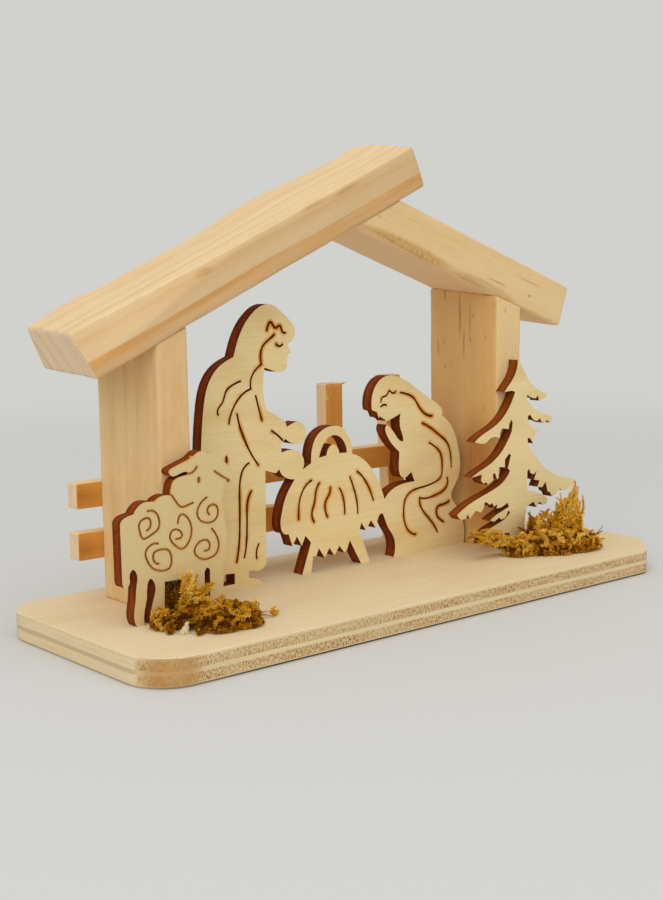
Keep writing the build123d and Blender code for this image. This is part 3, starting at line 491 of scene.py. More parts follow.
def glue_finish(moss):
    """Set glue: milky, with dust caught in it and a dull shine."""
    mix = Finish("glue_set", 0.34, 0.5)
    place = mix.place()
    milk = mix.cloud(place, (0.8, 0.8, 0.8), 3.0)
    dust = mix.rise(mix.cloud(place, (2.2, 2.2, 2.2), 2.0), 0.58, 0.72, 0.0, 0.6)
    mix.colour(mix.blend(dust, moss.glue, moss.ochre))
    mix.gloss(mix.rise(milk, 0.3, 0.7, 0.22, 0.45))
    mix.bump(milk, 0.3 * mm, 0.4)
    return mix.material


def select_only(piece):
    bpy.ops.object.select_all(action="DESELECT")
    piece.select_set(True)
    bpy.context.view_layer.objects.active = piece


def shape(piece, kind, **settings):
    """Adds a modifier to the active piece and applies it."""
    bpy.ops.object.modifier_add(type=kind)
    modifier = piece.modifiers[-1]
    for name, value in settings.items():
        setattr(modifier, name, value)
    bpy.ops.object.modifier_apply(modifier=modifier.name)


def wear(piece, material):
    piece.data.materials.clear()
    piece.data.materials.append(material)


def dress_node(node, material):
    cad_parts[node].data.materials[0] = material


def edit_all():
    """Opens the active piece for editing with all of it selected."""
    bpy.ops.object.mode_set(mode="EDIT")
    bpy.ops.mesh.select_all(action="SELECT")


def merged_copy(node, name):
    """A copy of a CAD piece, active, with its doubled points merged."""
    piece = bpy.data.objects.new(name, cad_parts[node].data.copy())
    bpy.context.scene.collection.objects.link(piece)
    select_only(piece)
    edit_all()
    bpy.ops.mesh.remove_doubles(threshold=weld)
    bpy.ops.object.mode_set(mode="OBJECT")
    return piece


def rework(piece, grid, passes):
    """Gives the active piece an even grid of faces and smooths it."""
    shape(piece, "REMESH", mode="VOXEL", voxel_size=grid)
    shape(piece, "SMOOTH", factor=0.5, iterations=passes)


def roughen(piece, name, size, strength, level=0.5):
    """Makes the active piece uneven by lumps of a size."""
    texture = bpy.data.textures.new(name, "CLOUDS")
    texture.noise_scale = size
    texture.noise_depth = 2
    shape(piece, "DISPLACE", texture=texture, texture_coords="LOCAL", strength=strength, mid_level=level)


def join_as(name, parts):
    """Joins new parts into one piece at the origin."""
    for part in parts:
        part.select_set(True)
    piece = parts[0]
    bpy.context.view_layer.objects.active = piece
    bpy.ops.object.transform_apply(location=True, rotation=True, scale=True)
    bpy.ops.object.join()
    piece.name = name
    return piece


def sawn_copy(node, material, grid, passes, uneven):
    """A copy of a sawn piece with worn arrises and slightly uneven faces, in the place of the plain one."""
    piece = merged_copy(node, node + "_sawn")
    rework(piece, grid, passes)
    roughen(piece, node + "_saw", 11 * mm, uneven)
    roughen(piece, node + "_fray", 2.2 * mm, uneven * 0.3)
    bpy.ops.object.shade_smooth()
    wear(piece, material)
    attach(piece, "root")
    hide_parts(node)
    return piece


def leave_proud(piece, turn, places):
    """Leaves a board proud in places that the plane missed, each pushed along the board and up from it."""
    run = Vector((math.cos(turn), 0.0, math.sin(turn)))
    up = Vector((-math.sin(turn), 0.0, math.cos(turn)))
    for vertex in piece.data.vertices:
        at = Vector((vertex.co.dot(run), vertex.co.y, vertex.co.dot(up))) / mm
        for centre, reach, (forth, lift) in places:
            off = sum(((at[axis] - centre[axis]) / reach[axis]) ** 2 for axis in range(3))
            if off < 1.0:
                vertex.co += (run * forth + up * lift) * mm * (1.0 - off) ** 2


class STABLE_OT_base(bpy.types.Operator):
    """Finish the five plies of the base board"""
    bl_idname = "stable.finish_base"
    bl_label = "Base board"

    def execute(self, context):
        base = context.scene.stable_base
        outer = ply("base_veneer", base, False, False)
        middle = ply("base_centre", base, False, True)
        thick = ply("base_core", base, True, False)
        for node in ("base_bottom_veneer", "base_top_veneer"):
            dress_node(node, outer)
        dress_node("base_centre_veneer", middle)
        for node in ("base_lower_core", "base_upper_core"):
            dress_node(node, thick)
        return {"FINISHED"}


class STABLE_OT_posts(bpy.types.Operator):
    """Saw the two posts"""
    bl_idname = "stable.saw_posts"
    bl_label = "Posts"

    def execute(self, context):
        wood = context.scene.stable_pine
        left = pine("pine_left_post", wood, wood.early, wood.late, upright, (34.0, 40.0), 1.0,
                    rings=0.45, warmth=0.7, flecks=0.25)
        inner = -42.3
        # Resin stains on the inner face; the first, low and broad, is partly a resin stain and partly painted
        # shade at the foot of the post: place, reach, depth
        right_stains_and_shade = (
            ((26.0, 5.0, inner), (20.0, 8.0, 4.0), 0.75),
            ((65.5, 10.7, inner), (8.0, 0.6, 2.0), 0.65),
            ((64.0, 7.1, inner), (6.5, 0.5, 2.0), 0.5),
            ((58.0, 9.3, inner), (5.5, 0.5, 2.0), 0.55),
            ((71.0, 16.1, inner), (2.6, 0.5, 2.0), 0.6),
            ((56.8, 18.7, inner), (3.2, 0.5, 2.0), 0.5),
        )
        # The right post is deeper orange, partly painted shade, and its front faces are painted paler with
        # the early wood as painted light.
        right = pine("pine_right_post", wood, wood.right_wood_and_shade, wood.late, upright, (-30.0, -20.0), 2.0,
                     stains_and_shade=right_stains_and_shade, rings=0.4, warmth=0.8, flecks=0.9,
                     front=wood.early, painted_front_share=0.8)
        sawn_copy("left_post", left, wood.grid * 0.8, 2, wood.uneven)
        sawn_copy("right_post", right, wood.grid * 0.8, 2, wood.uneven * 1.4)
        return {"FINISHED"}


class STABLE_OT_roof(bpy.types.Operator):
    """Saw the two roof boards"""
    bl_idname = "stable.saw_roof"
    bl_label = "Roof boards"

    def execute(self, context):
        wood = context.scene.stable_pine
        # Knots: place, reach, depth
        left_marks = (
            ((-11.3, -2.6, 89.6), (3.2, 5.0, 1.1), 0.62),
            ((21.4, -2.6, 90.6), (5.0, 4.0, 0.9), 0.52),
            ((32.0, -2.6, 90.0), (6.0, 4.0, 0.9), 0.52),
        )
        # Bands along the board: level, half width, slant, drop, curve, depth
        left_stripes = (
            (83.3, 1.7, 0.10, -0.003, 0.0001, 0.85),
            (88.6, 0.9, 0.10, -0.012, 0.0, 0.25),
            (94.6, 0.9, 1.0, -0.008, 0.0001, 0.32),
            (99.4, 1.2, 1.0, 0.010, 0.0, 0.26),
            (106.0, 1.4, 1.0, -0.010, 0.0, 0.24),
        )
        right_marks = (
            ((28.2, -2.1, 84.2), (0.7, 1.5, 0.5), 1.0),
            ((16.0, -2.1, 83.7), (5.0, 1.5, 0.35), 0.8),
            ((27.0, -2.1, 87.5), (6.0, 1.5, 0.3), 0.6),
        )
        right_torn = (
            ((-15.0, -2.1, 81.6), (19.0, 4.0, 1.9)),
            ((9.0, -2.1, 80.6), (11.0, 3.0, 1.3)),
        )
        # The left board's front faces are darkened with the roof front colour as painted shade.
        left = pine("pine_left_board", wood, wood.roof_early, wood.late, left_pitch, (56.0, 62.0), 3.0,
                    stripes=left_stripes, marks=left_marks, rings=0.22, warmth=0.3, flecks=0.1,
                    front=wood.roof_front_shade, painted_front_share=0.36)
        # The right board's underside is painted paler as painted light.
        right = pine("pine_right_board", wood, wood.early, wood.late, -right_pitch, (-22.0, 126.0), 4.0,
                     marks=right_marks, torn=right_torn, rings=0.15, warmth=0.25, flecks=0.35, painted_light_under=0.8)
        # Place along, across and up the board, reach, push along and up
        left_proud = (
            ((25.0, 21.0, 91.5), (23.0, 24.0, 7.0), (0.0, 1.0)),
            ((-31.0, 21.0, 91.5), (9.0, 12.0, 6.0), (0.0, 0.5)),
            ((60.0, 12.0, 91.5), (9.0, 26.0, 8.0), (0.0, 0.6)),
            ((58.0, -3.0, 87.0), (8.0, 40.0, 16.0), (1.0, 0.0)),
        )
        board = sawn_copy("left_roof_board", left, wood.grid * 0.9, 3, wood.uneven)
        leave_proud(board, left_pitch, left_proud)
        sawn_copy("right_roof_board", right, wood.grid * 0.64, 1, wood.uneven * 0.8)
        return {"FINISHED"}


class STABLE_OT_fence(bpy.types.Operator):
    """Saw the rails and pickets of the back fence"""
    bl_idname = "stable.saw_fence"
    bl_label = "Back fence"

    def execute(self, context):
        wood = context.scene.stable_pine
        # Rails and pickets are deep orange on their fronts, partly painted shade, and painted paler on their
        # other faces as painted light.
        for number, node in enumerate(("lower_rail", "upper_rail")):
            low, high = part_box(node)
            # The rails are darker towards their left ends, beyond the left post.
            left_end = (((-68.0, 21.7, (low.z + high.z) / 2 / mm), (13.0, 3.0, 4.0), 0.7),)
            material = pine("pine_" + node, wood, wood.strip_early_and_shade, wood.strip_late_and_shade, 0.0,
                            (40.0, 2.0 + 30.0 * number), 5.0 + number, stains_and_shade=left_end,
                            warmth=0.2, painted_light_sides=1.0)
            sawn_copy(node, material, wood.strip_grid, 1, wood.uneven * 0.5)
        for number in range(1, 5):
            node = "picket_%d" % number
            material = pine("pine_" + node, wood, wood.strip_early_and_shade, wood.strip_late_and_shade, upright,
                            (46.0, -60.0 + 9.0 * number), 7.0 + number, warmth=0.2, painted_light_sides=1.0)
            sawn_copy(node, material, wood.strip_grid, 1, wood.uneven * 0.5)
        return {"FINISHED"}


def scorched_plate(node, name, figures, material):
    """A copy of a plate with a finer face beside its burnt lines; each point keeps how near the line is."""
    piece = merged_copy(node, name)
    bpy.ops.object.mode_set(mode="EDIT")
    bpy.ops.mesh.select_mode(type="EDGE")
    finest, coarser, rim_step, rounds = 0.28 * mm, 0.6, 0.1 * mm, 9
    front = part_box(node)[0].y
    level = front + 0.05 * mm
    floor = front + 0.9 * mm
    work = bmesh.from_edit_mesh(piece.data)
    sunk = {vertex for face in work.faces if face.normal.y < -0.9
            for vertex in face.verts if vertex.co.y > level}
    standing = {face for face in work.faces
                if abs(face.normal.y) < 0.5 and all(vertex.co.y < floor for vertex in face.verts)}
    queue = [face for face in standing if any(vertex in sunk for vertex in face.verts)]
    walls = set(queue)
    while queue:
        for edge in queue.pop().edges:
            for face in edge.link_faces:
                if face in standing and face not in walls:
                    walls.add(face)
                    queue.append(face)
    rim = []
    for edge in work.edges:
        flush = all(vertex.co.y < level for vertex in edge.verts)
        if flush and any(face in walls for face in edge.link_faces):
            first, last = (vertex.co for vertex in edge.verts)
            parts = max(1, math.ceil((last - first).length / rim_step))
            rim += [first.lerp(last, part / parts) for part in range(parts + 1)]
    tree = KDTree(len(rim))
    for number, point in enumerate(rim):
        tree.insert(point, number)
    tree.balance()
    for _ in range(rounds if rim else 0):
        bpy.ops.mesh.select_all(action="DESELECT")
        for edge in work.edges:
            if all(vertex.co.y < level for vertex in edge.verts):
                span = edge.calc_length()
                middle = (edge.verts[0].co + edge.verts[1].co) / 2
                gap = max(0.0, tree.find(middle)[2] - span / 2)
                if gap < figures.reach and span > finest + coarser * gap:
                    edge.select_set(True)
        bmesh.update_edit_mesh(piece.data)
        bpy.ops.mesh.subdivide(number_cuts=1, ngon=False)
        work = bmesh.from_edit_mesh(piece.data)
    bpy.ops.object.mode_set(mode="OBJECT")
    near = [0.0] * len(piece.data.vertices)
    for number, vertex in enumerate(piece.data.vertices):
        if rim and vertex.co.y < floor:
            near[number] = max(0.0, 1.0 - tree.find(vertex.co)[2] / figures.reach)
    piece.data.attributes.new("scorch", "FLOAT", "POINT").data.foreach_set("value", near)
    bpy.ops.mesh.customdata_custom_splitnormals_clear()
    bpy.ops.object.shade_flat()
    wear(piece, material)
    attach(piece, "root")
    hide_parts(node)


class STABLE_OT_splinters(bpy.types.Operator):
    """Leave torn splinters on top of the third picket"""
    bl_idname = "stable.leave_splinters"
    bl_label = "Splinters"

    def execute(self, context):
        wood = context.scene.stable_pine
        low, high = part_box("picket_3")
        draw = random.Random(5)
        ways = (
            (0.05, 0.58, 5.2, 4.2), (0.05, 0.02, 3.9, 3.9), (0.20, -0.45, 1.5, 1.4), (0.22, 0.25, 1.6, 1.5),
            (0.38, -0.30, 1.1, 1.0), (0.55, 0.15, 1.3, 1.2), (0.64, 0.75, 1.5, 1.0), (0.74, 1.05, 1.8, 0.7),
            (0.82, 1.25, 2.6, 0.5), (0.90, 0.95, 1.4, 0.6), (0.96, 1.35, 1.8, 0.3), (0.80, 0.40, 1.0, 0.9),
        )
        slivers = []
        bpy.ops.object.select_all(action="DESELECT")
        for share, lean, reach, down in ways:
            way = Vector((math.sin(lean), draw.uniform(-0.25, 0.0), math.cos(lean))).normalized()
            foot = Vector((low.x + share * (high.x - low.x), low.y - draw.uniform(0.0, 0.1) * mm,
                           high.z - down * mm))
            bpy.ops.mesh.primitive_cone_add(
                vertices=5, radius1=draw.uniform(0.14, 0.24) * mm, radius2=0.02 * mm, depth=reach * mm,
                location=foot + way * reach / 2 * mm, rotation=way.to_track_quat("Z", "Y").to_euler())
            slivers.append(bpy.context.active_object)
        piece = join_as("picket_splinters", slivers)
        shape(piece, "SUBSURF", subdivision_type="SIMPLE", levels=2, render_levels=2)
        roughen(piece, "splinter_bend", 1.2 * mm, 0.3 * mm)
        material = pine("pine_splinters", wood, wood.splinter, wood.strip_early_and_shade, upright, (40.0, 30.0), 13.0,
                        flecks=0.0)
        wear(piece, material)
        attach(piece, "root")
        return {"FINISHED"}


class STABLE_OT_figures(bpy.types.Operator):
    """Burn the lines and edges of the three plywood plates"""
    bl_idname = "stable.burn_figures"
    bl_label = "Figures"

    def execute(self, context):
        figures = context.scene.stable_figures
        # Node, name, face, charring of the lines, burning of the edges
        plates = (
            ("holy_family_plate", "holy_family", figures.face, 1.0, 1.0),
            ("sheep_plate", "sheep", figures.dull, 0.2, 1.0),
            ("tree_plate", "tree", figures.face, 0.8, 0.9),
        )
        for number, (node, name, pale_face, char, singe) in enumerate(plates):
            low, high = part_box(node)
            thick = (high.y - low.y) / mm
            material = burnt_ply(
                "laser_" + name, figures, pale_face, low.y / mm, thick, 1.0 + number, char, singe)
            scorched_plate(node, name, figures, material)
        return {"FINISHED"}


class Clump:
    """One clump of moss: strands that creep over its matted bed, stand up from it or reach out of it."""

    def __init__(self, bed, moss, front, seed, bright, shoulder=None):
        self.bed = bed
        self.shoulder = shoulder
        self.bright = bright
        self.step = moss.step / mm
        self.leaf = moss.leaf / mm
        self.girth = moss.girth / mm
        self.front = front
        self.random = random.Random(seed)
        self.points = []
        self.faces = []
        self.tints = []

    def stray(self, spread):
        return Vector([self.random.gauss(0, spread) for _ in range(3)])

    def strand(self, start, heading, reach, tint, sway, plump, aim=None, hug=0.0, lift=0.0):
        """One strand: it strays from its heading, keeps over the bed or to its aim, and stays on the base."""
        ground, keep, pull, slope = 6.5, 0.85, 0.2, 0.8
        line = [Vector(start)]
        heading = Vector(heading).normalized()
        turn = Vector()
        for _ in range(max(6, round(reach / self.step))):
            turn = turn * keep + self.stray(sway)
            if aim is not None and (aim - line[-1]).length > 3 * self.step:
                heading = heading.lerp((aim - line[-1]).normalized(), pull)
            ahead = line[-1] + (heading + turn).normalized() * self.step
            if hug:
                _, spot, normal, _ = self.bed.closest_point_on_mesh(ahead * mm)
                ahead = ahead.lerp(spot / mm + normal * lift, hug)
            if self.shoulder is not None:
                ahead.z = min(ahead.z, self.shoulder.z - max(0.0, ahead.x - self.shoulder.x) * slope)
            ahead.z = max(ahead.z, ground)
            if line[0].y < self.front:
                ahead.y = min(ahead.y, self.front)
            heading = (ahead - line[-1]).normalized()
            line.append(ahead)
        self.clothe(line, tint + self.bright, plump)

    def clothe(self, line, tint, plump):
        """A stem along the line with short leaflets lapped all round it, thinner towards both ends."""
        draw = self.random
        corners, leaflets = 3, 4
        count = len(line)
        ring = None
        for place, point in enumerate(line):
            along = (line[min(place + 1, count - 1)] - line[max(place - 1, 0)]).normalized()
            side = along.cross(Vector((0.31, 0.57, 0.76))).normalized()
            up = along.cross(side)
            taper = plump * math.sin(math.pi * (0.28 + 0.60 * place / (count - 1))) * draw.uniform(0.8, 1.15)
            girth = self.girth * taper
            first = len(self.points)
            for corner in range(corners):
                angle = corner * math.tau / corners
                self.points.append(point + (side * math.cos(angle) + up * math.sin(angle)) * girth)
                self.tints.append(tint - 0.25)
            if ring is None:
                self.faces.append((first + 2, first + 1, first))
            else:
                for corner in range(corners):
                    after = (corner + 1) % corners
                    self.faces.append((ring + corner, ring + after, first + after, first + corner))
            ring = first
            if place == count - 1:
                self.faces.append((first, first + 1, first + 2))
                break
            for leaflet in range(leaflets):
                angle = place * golden_turn + leaflet * math.tau / leaflets + draw.uniform(-0.3, 0.3)
                out = side * math.cos(angle) + up * math.sin(angle)
                across = along.cross(out)
                size = self.leaf * taper * draw.uniform(0.7, 1.2)
                lean = draw.uniform(0.5, 1.2)
                tip = point + out * girth * 0.8 + (out * math.sin(lean) + along * math.cos(lean)) * size
                root = point + out * girth * 0.5
                a, b, c, d = range(len(self.points), len(self.points) + 4)
                self.points += [root - across * size * 0.26, root + across * size * 0.26,
                                root + along * size * 0.45 + out * size * 0.3, tip]
                self.tints += [tint - 0.14, tint - 0.14, tint, tint + draw.uniform(0.0, 0.22)]
                self.faces += [(a, b, c), (a, d, b), (b, d, c), (c, d, a)]

    def spread(self, gap):
        """Points of the bed in a random order, no two nearer than the gap."""
        order = list(self.bed.data.vertices)
        self.random.shuffle(order)
        chosen = []
        for vertex in order:
            if all((vertex.co - other.co).length > gap * mm for other in chosen):
                chosen.append(vertex)
        return chosen

    def cover(self, gap, low, high, plump, tint):
        """Strands that creep over the bed from starts spaced by the gap, between the low and high lift."""
        draw = self.random
        for vertex in self.spread(gap):
            heading = self.stray(1.0)
            heading -= vertex.normal * heading.dot(vertex.normal) * 0.8
            lift = draw.uniform(low, high)
            # Strands over upward-facing parts of the bed are paler, painted light on top of the clump.
            shade = min(max(tint + 0.16 * vertex.normal.z + draw.gauss(0, 0.13), 0.02), 0.86)
            self.strand(vertex.co / mm, heading, draw.uniform(3.0, 8.5), shade, 0.12,
                        plump * draw.uniform(0.7, 1.1), hug=0.30, lift=lift)

    def tuft(self, foot, tip, count, spread, tint, sway, plump):
        """A bundle of strands from foot to tip."""
        draw = self.random
        foot, tip = Vector(foot), Vector(tip)
        for _ in range(count):
            start = foot + self.stray(spread)
            aim = tip + self.stray(spread * 0.4)
            reach = (aim - start).length * (draw.uniform(0.72, 1.0) if count > 2 else 1.0)
            self.strand(start, aim - start, reach, tint + draw.gauss(0, 0.12), sway,
                        plump * draw.uniform(0.8, 1.1), aim)

    def finish(self, name, material, tufts=()):
        """The strands, with tufts added last, as one piece."""
        for tuft in tufts:
            self.tuft(*tuft)
        mesh = bpy.data.meshes.new(name)
        mesh.from_pydata([point * mm for point in self.points], [], self.faces)
        mesh.attributes.new("tint", "FLOAT", "POINT").data.foreach_set("value", self.tints)
        piece = bpy.data.objects.new(name, mesh)
        bpy.context.scene.collection.objects.link(piece)
        select_only(piece)
        edit_all()
        bpy.ops.mesh.normals_make_consistent(inside=False)
        bpy.ops.object.mode_set(mode="OBJECT")
        wear(piece, material)
        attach(piece, "root")


def moss_bed(node, name, material, top):
    """The matted inside of a clump, given a dark tint as painted shade, roughened from its plain solid below
    its sprigs.
    """
    piece = merged_copy(node, name)
    rework(piece, 0.45 * mm, 6)
    edit_all()
    bpy.ops.transform.shrink_fatten(value=-0.7 * mm)
    bpy.ops.mesh.select_all(action="SELECT")
    bpy.ops.mesh.bisect(
        plane_co=(0.0, 0.0, top * mm), plane_no=(0.0, 0.0, 1.0), clear_outer=True, use_fill=True)
    bpy.ops.object.mode_set(mode="OBJECT")
    roughen(piece, name + "_lumps", 2.4 * mm, 0.9 * mm, 0.7)
    roughen(piece, name + "_mat", 0.8 * mm, 0.5 * mm, 0.6)
    # The bed takes the darkest tint, painted shade inside the clump.
    tints = [-0.1] * len(piece.data.vertices)
    piece.data.attributes.new("tint", "FLOAT", "POINT").data.foreach_set("value", tints)
    bpy.ops.object.shade_smooth()
    wear(piece, material)
    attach(piece, "root")
    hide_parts(node)
    return piece


class STABLE_OT_moss(bpy.types.Operator):
    """Lay the two clumps of dry moss"""
    bl_idname = "stable.lay_moss"
    bl_label = "Moss"

    def execute(self, context):
        moss = context.scene.stable_moss
        material = moss_finish(moss)
        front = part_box("sheep_plate")[0].y / mm - 0.6
        upright_rows = (-59.8, -58.0, -56.2, -54.4)
        # Foot, tip, number of strands, spread, tint, sway, plumpness
        left_tufts = (
            ((-57.4, -8.6, 7.5), (-56.6, -8.4, 17.2), 13, 0.6, 0.76, 0.04, 1.3),
            ((-55.5, -9.0, 11.0), (-50.5, -9.0, 12.8), 4, 0.35, 0.60, 0.04, 1.1),
            *(((row, -3.6, 6.8), (row, -3.6, 14.2), 6, 0.45, 0.20, 0.03, 1.0) for row in upright_rows),
            ((-48.5, -16.6, 7.2), (-43.2, -18.0, 6.9), 2, 0.15, 0.26, 0.02, 0.45),
            ((-43.2, -18.0, 6.9), (-39.2, -16.2, 7.2), 4, 0.2, 0.34, 0.04, 0.7),
            ((-64.0, -5.9, 7.0), (-65.4, -13.2, 7.3), 6, 0.5, 0.82, 0.08, 1.1),
            ((-58.6, -12.6, 7.8), (-50.8, -15.6, 7.8), 6, 0.5, 0.80, 0.08, 1.1),
        )
        right_tufts = (
            ((57.2, -14.0, 8.5), (59.0, -14.0, 23.8), 14, 0.8, 0.76, 0.05, 1.2),
            ((56.2, -13.4, 9.0), (54.4, -13.0, 20.8), 8, 0.6, 0.72, 0.05, 1.2),
            ((57.5, -14.0, 7.5), (58.7, -14.4, 19.6), 15, 1.1, 0.70, 0.07, 1.35),
            ((45.5, -8.8, 7.5), (48.6, -8.2, 17.0), 7, 0.7, 0.10, 0.08, 1.1),
            ((52.0, -9.0, 8.0), (48.2, -8.6, 15.6), 8, 0.8, 0.40, 0.11, 1.2),
            ((48.5, -9.6, 9.0), (57.0, -9.6, 15.0), 10, 0.9, 0.56, 0.11, 1.25),
            ((58.5, -11.0, 8.5), (51.6, -9.4, 15.8), 10, 0.9, 0.62, 0.11, 1.25),
            ((53.0, -12.0, 9.0), (57.5, -12.8, 16.4), 10, 0.9, 0.60, 0.11, 1.25),
            ((43.0, -9.7, 7.4), (23.4, -9.7, 13.8), 9, 0.6, 0.58, 0.03, 1.0),
            ((60.0, -16.4, 7.6), (67.2, -16.4, 7.2), 8, 0.8, 0.60, 0.05, 1.0),
            ((64.6, -15.0, 7.2), (68.9, -15.0, 9.6), 2, 0.1, 0.12, 0.05, 0.45),
        )
        shoulder = Vector((59.0, -14.0, 11.0))
        # Side, top of the bed, seed and brightness of the inner and the outer strands, tint, limit, tufts
        clumps = (
            ("left", 10.8, (11, -0.02), (12, 0.08), 0.50, None, left_tufts),
            ("right", 11.8, (23, 0.18), (24, 0.16), 0.52, shoulder, ()),
        )
        for side, top, inner, outer, tint, limit, tufts in clumps:
            name = "moss_" + side
            bed = moss_bed("moss_clump_" + side, name + "_bed", material, top)
            clump = Clump(bed, moss, front, *inner, limit)
            # The inner strands take a darker tint than the outer ones, partly painted shade inside the clump.
            clump.cover(moss.under_gap, 0.1, 0.4, 0.8, 0.22)
            clump.finish(name + "_under", material)
            clump = Clump(bed, moss, front, *outer, limit)
            clump.cover(moss.over_gap, 0.4, 1.5, 0.85, tint)
            clump.finish(name, material, tufts)
        # The sprigs stand on the right bed, the last one laid
        sprigs = Clump(bed, moss, front, 37, 0.10)
        sprigs.finish("moss_right_sprigs", material, right_tufts)
        return {"FINISHED"}


class STABLE_OT_glue(bpy.types.Operator):
    """Drop the dab of glue at the edge of the left clump"""
    bl_idname = "stable.drop_glue"
    bl_label = "Glue"

    def execute(self, context):
        low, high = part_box("glue_dab")
        middle = (low + high) / 2
        lobes = (
            (Vector((0.3, 0.3, 0.0)), (1.5, 1.2, 0.8)),
            (Vector((1.0, 0.9, 0.7)), (0.9, 0.8, 0.9)),
            (Vector((1.6, 1.3, 1.5)), (0.7, 0.6, 0.8)),
        )
        bpy.ops.object.select_all(action="DESELECT")
        drops = []
        for shift, reach in lobes:
            bpy.ops.mesh.primitive_uv_sphere_add(
                segments=32, ring_count=16, radius=mm, scale=reach,
                location=Vector((middle.x, middle.y, low.z)) + shift * mm)
            drops.append(bpy.context.active_object)
        piece = join_as("glue_drop", drops)
        rework(piece, 0.22 * mm, 6)
        roughen(piece, "glue_lumps", 0.9 * mm, 1.1 * mm, 0.6)
        shape(piece, "SMOOTH", factor=0.5, iterations=2)
        edit_all()
        bpy.ops.mesh.bisect(
            plane_co=(0.0, 0.0, low.z), plane_no=(0.0, 0.0, 1.0), clear_inner=True, use_fill=True)
        bpy.ops.object.mode_set(mode="OBJECT")
        bpy.ops.object.shade_smooth()
        wear(piece, glue_finish(context.scene.stable_moss))
        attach(piece, "root")
        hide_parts("glue_dab")
        return {"FINISHED"}


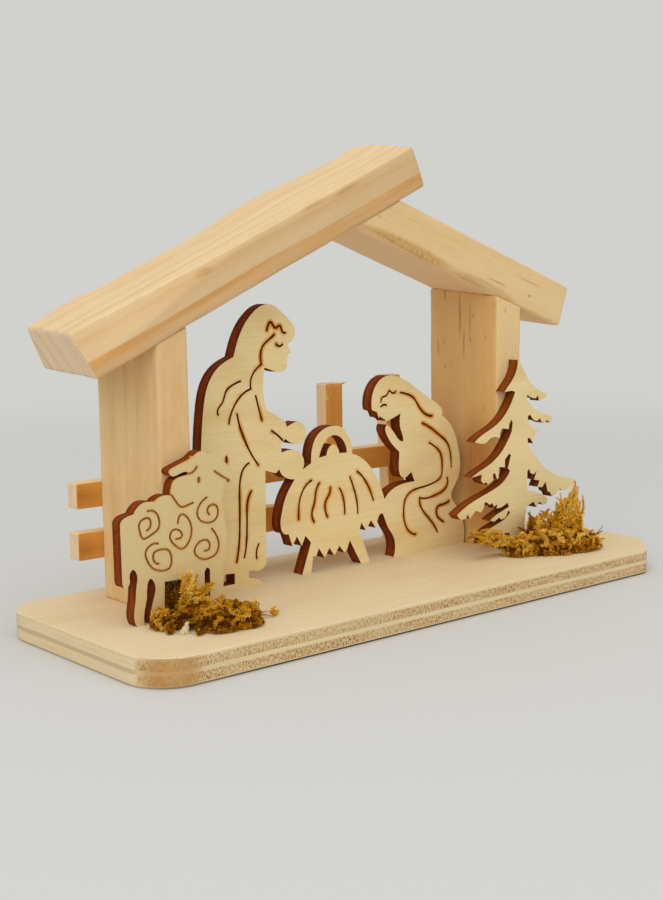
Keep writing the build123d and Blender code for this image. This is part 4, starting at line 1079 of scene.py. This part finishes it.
class STABLE_OT_stage(bpy.types.Operator):
    """Set the floor, the lamps and the camera"""
    bl_idname = "stable.set_stage"
    bl_label = "Stage"

    def execute(self, context):
        stage = context.scene.stable_stage
        bpy.ops.object.select_all(action="DESELECT")
        floor_size, fade_start, fade_end = 8.0, 0.16, 0.60
        bpy.ops.mesh.primitive_plane_add(size=floor_size, location=(0.0, 0.0, 0.0))
        floor = context.active_object
        floor.name = "floor"
        paper = Finish("floor_paper", 0.9)
        wear(floor, paper.material)
        paper.colour(stage.floor)
        seen = paper.add("ShaderNodeLightPath").outputs["Is Camera Ray"]
        glow = paper.add("ShaderNodeEmission", {"Color": stage.floor})
        far = paper.rise(paper.vector("LENGTH", paper.source.outputs["Object"]), fade_start, fade_end)
        layers = paper.times(far, seen), paper.shader.outputs[0], glow.outputs[0]
        fade = paper.add("ShaderNodeMixShader", layers)
        paper.feed(paper.tree.nodes["Material Output"].inputs["Surface"], fade.outputs[0])

        world = bpy.data.worlds.new("studio")
        context.scene.world = world
        world.use_nodes = True
        sky = Nodes(world.node_tree)
        light = sky.tree.nodes["Background"]
        sky.feed(light.inputs["Color"], (1.0, 1.0, 1.0))
        sky.feed(light.inputs["Strength"], stage.world)
        backdrop = sky.add("ShaderNodeBackground", {"Color": stage.floor})
        path = sky.add("ShaderNodeLightPath").outputs
        shiny = sky.number("MAXIMUM", path["Is Glossy Ray"], path["Is Transmission Ray"])
        shown = sky.number("MAXIMUM", path["Is Camera Ray"], shiny)
        choice = sky.add("ShaderNodeMixShader", (shown, light.outputs[0], backdrop.outputs[0]))
        sky.feed(sky.tree.nodes["World Output"].inputs["Surface"], choice.outputs[0])

        # Name, place, size, watts
        lamps = (
            ("lamp_over", (-0.15, -0.10, 1.0), 1.1, stage.over),
            ("lamp_side", (-0.85, -0.55, 0.55), 0.8, stage.side),
            ("lamp_front", (0.10, -1.0, 0.50), 0.9, stage.front),
        )
        for lamp in lamps:
            self.lamp(*lamp)

        bpy.ops.object.camera_add()
        camera = context.active_object
        camera.name = "camera"
        camera.data.lens = stage.lens
        camera.data.clip_start = 0.01
        # The camera's own axes, to its right and backwards, and its place in millimetres
        across = Vector((0.7607, -0.6492, -0.0128)).normalized()
        back = Vector((-0.6423, -0.7551, 0.1314))
        place = Vector((-211.51, -235.94, 77.38))
        back = (back - across * back.dot(across)).normalized()
        up = back.cross(across)
        stand = Matrix((across, up, back)).transposed().to_4x4()
        stand.translation = place * mm
        camera.matrix_world = stand
        context.scene.camera = camera
        context.scene.view_settings.view_transform = "Standard"
        return {"FINISHED"}

    def lamp(self, name, place, size, watts):
        """A square lamp turned to the middle of the stable."""
        bpy.ops.object.light_add(type="AREA", location=place)
        lamp = bpy.context.active_object
        lamp.name = name
        lamp.data.energy = watts
        lamp.data.size = size
        middle = Vector((0.0, 0.0, 0.05))
        aim = middle - Vector(place)
        lamp.rotation_euler = aim.to_track_quat("-Z", "Y").to_euler()


operators = (STABLE_OT_base, STABLE_OT_posts, STABLE_OT_roof, STABLE_OT_fence, STABLE_OT_splinters,
             STABLE_OT_figures, STABLE_OT_moss, STABLE_OT_glue, STABLE_OT_stage)


class STABLE_PT_panel(bpy.types.Panel):
    """Stable settings and steps"""
    bl_idname = "STABLE_PT_panel"
    bl_label = "Nativity stable"
    bl_space_type = "VIEW_3D"
    bl_region_type = "UI"
    bl_category = "Stable"

    def draw(self, context):
        for group in groups:
            box = self.layout.box()
            box.label(text=group.__doc__)
            settings = getattr(context.scene, groups[group])
            for name in group.__annotations__:
                box.prop(settings, name)
        for operator in operators:
            self.layout.operator(operator.bl_idname)


groups = {
    StablePine: "stable_pine",
    StableBase: "stable_base",
    StableFigures: "stable_figures",
    StableMoss: "stable_moss",
    StableStage: "stable_stage",
}


def register():
    for group, name in groups.items():
        bpy.utils.register_class(group)
        setattr(bpy.types.Scene, name, PointerProperty(type=group))
    for operator in operators:
        bpy.utils.register_class(operator)
    bpy.utils.register_class(STABLE_PT_panel)


def unregister():
    bpy.utils.unregister_class(STABLE_PT_panel)
    for operator in reversed(operators):
        bpy.utils.unregister_class(operator)
    for group, name in groups.items():
        delattr(bpy.types.Scene, name)
        bpy.utils.unregister_class(group)


def main():
    register()
    bpy.ops.stable.set_stage()
    bpy.ops.stable.finish_base()
    bpy.ops.stable.saw_posts()
    bpy.ops.stable.saw_roof()
    bpy.ops.stable.saw_fence()
    bpy.ops.stable.leave_splinters()
    bpy.ops.stable.burn_figures()
    bpy.ops.stable.lay_moss()
    bpy.ops.stable.drop_glue()


if __name__ == "__main__":
    main()
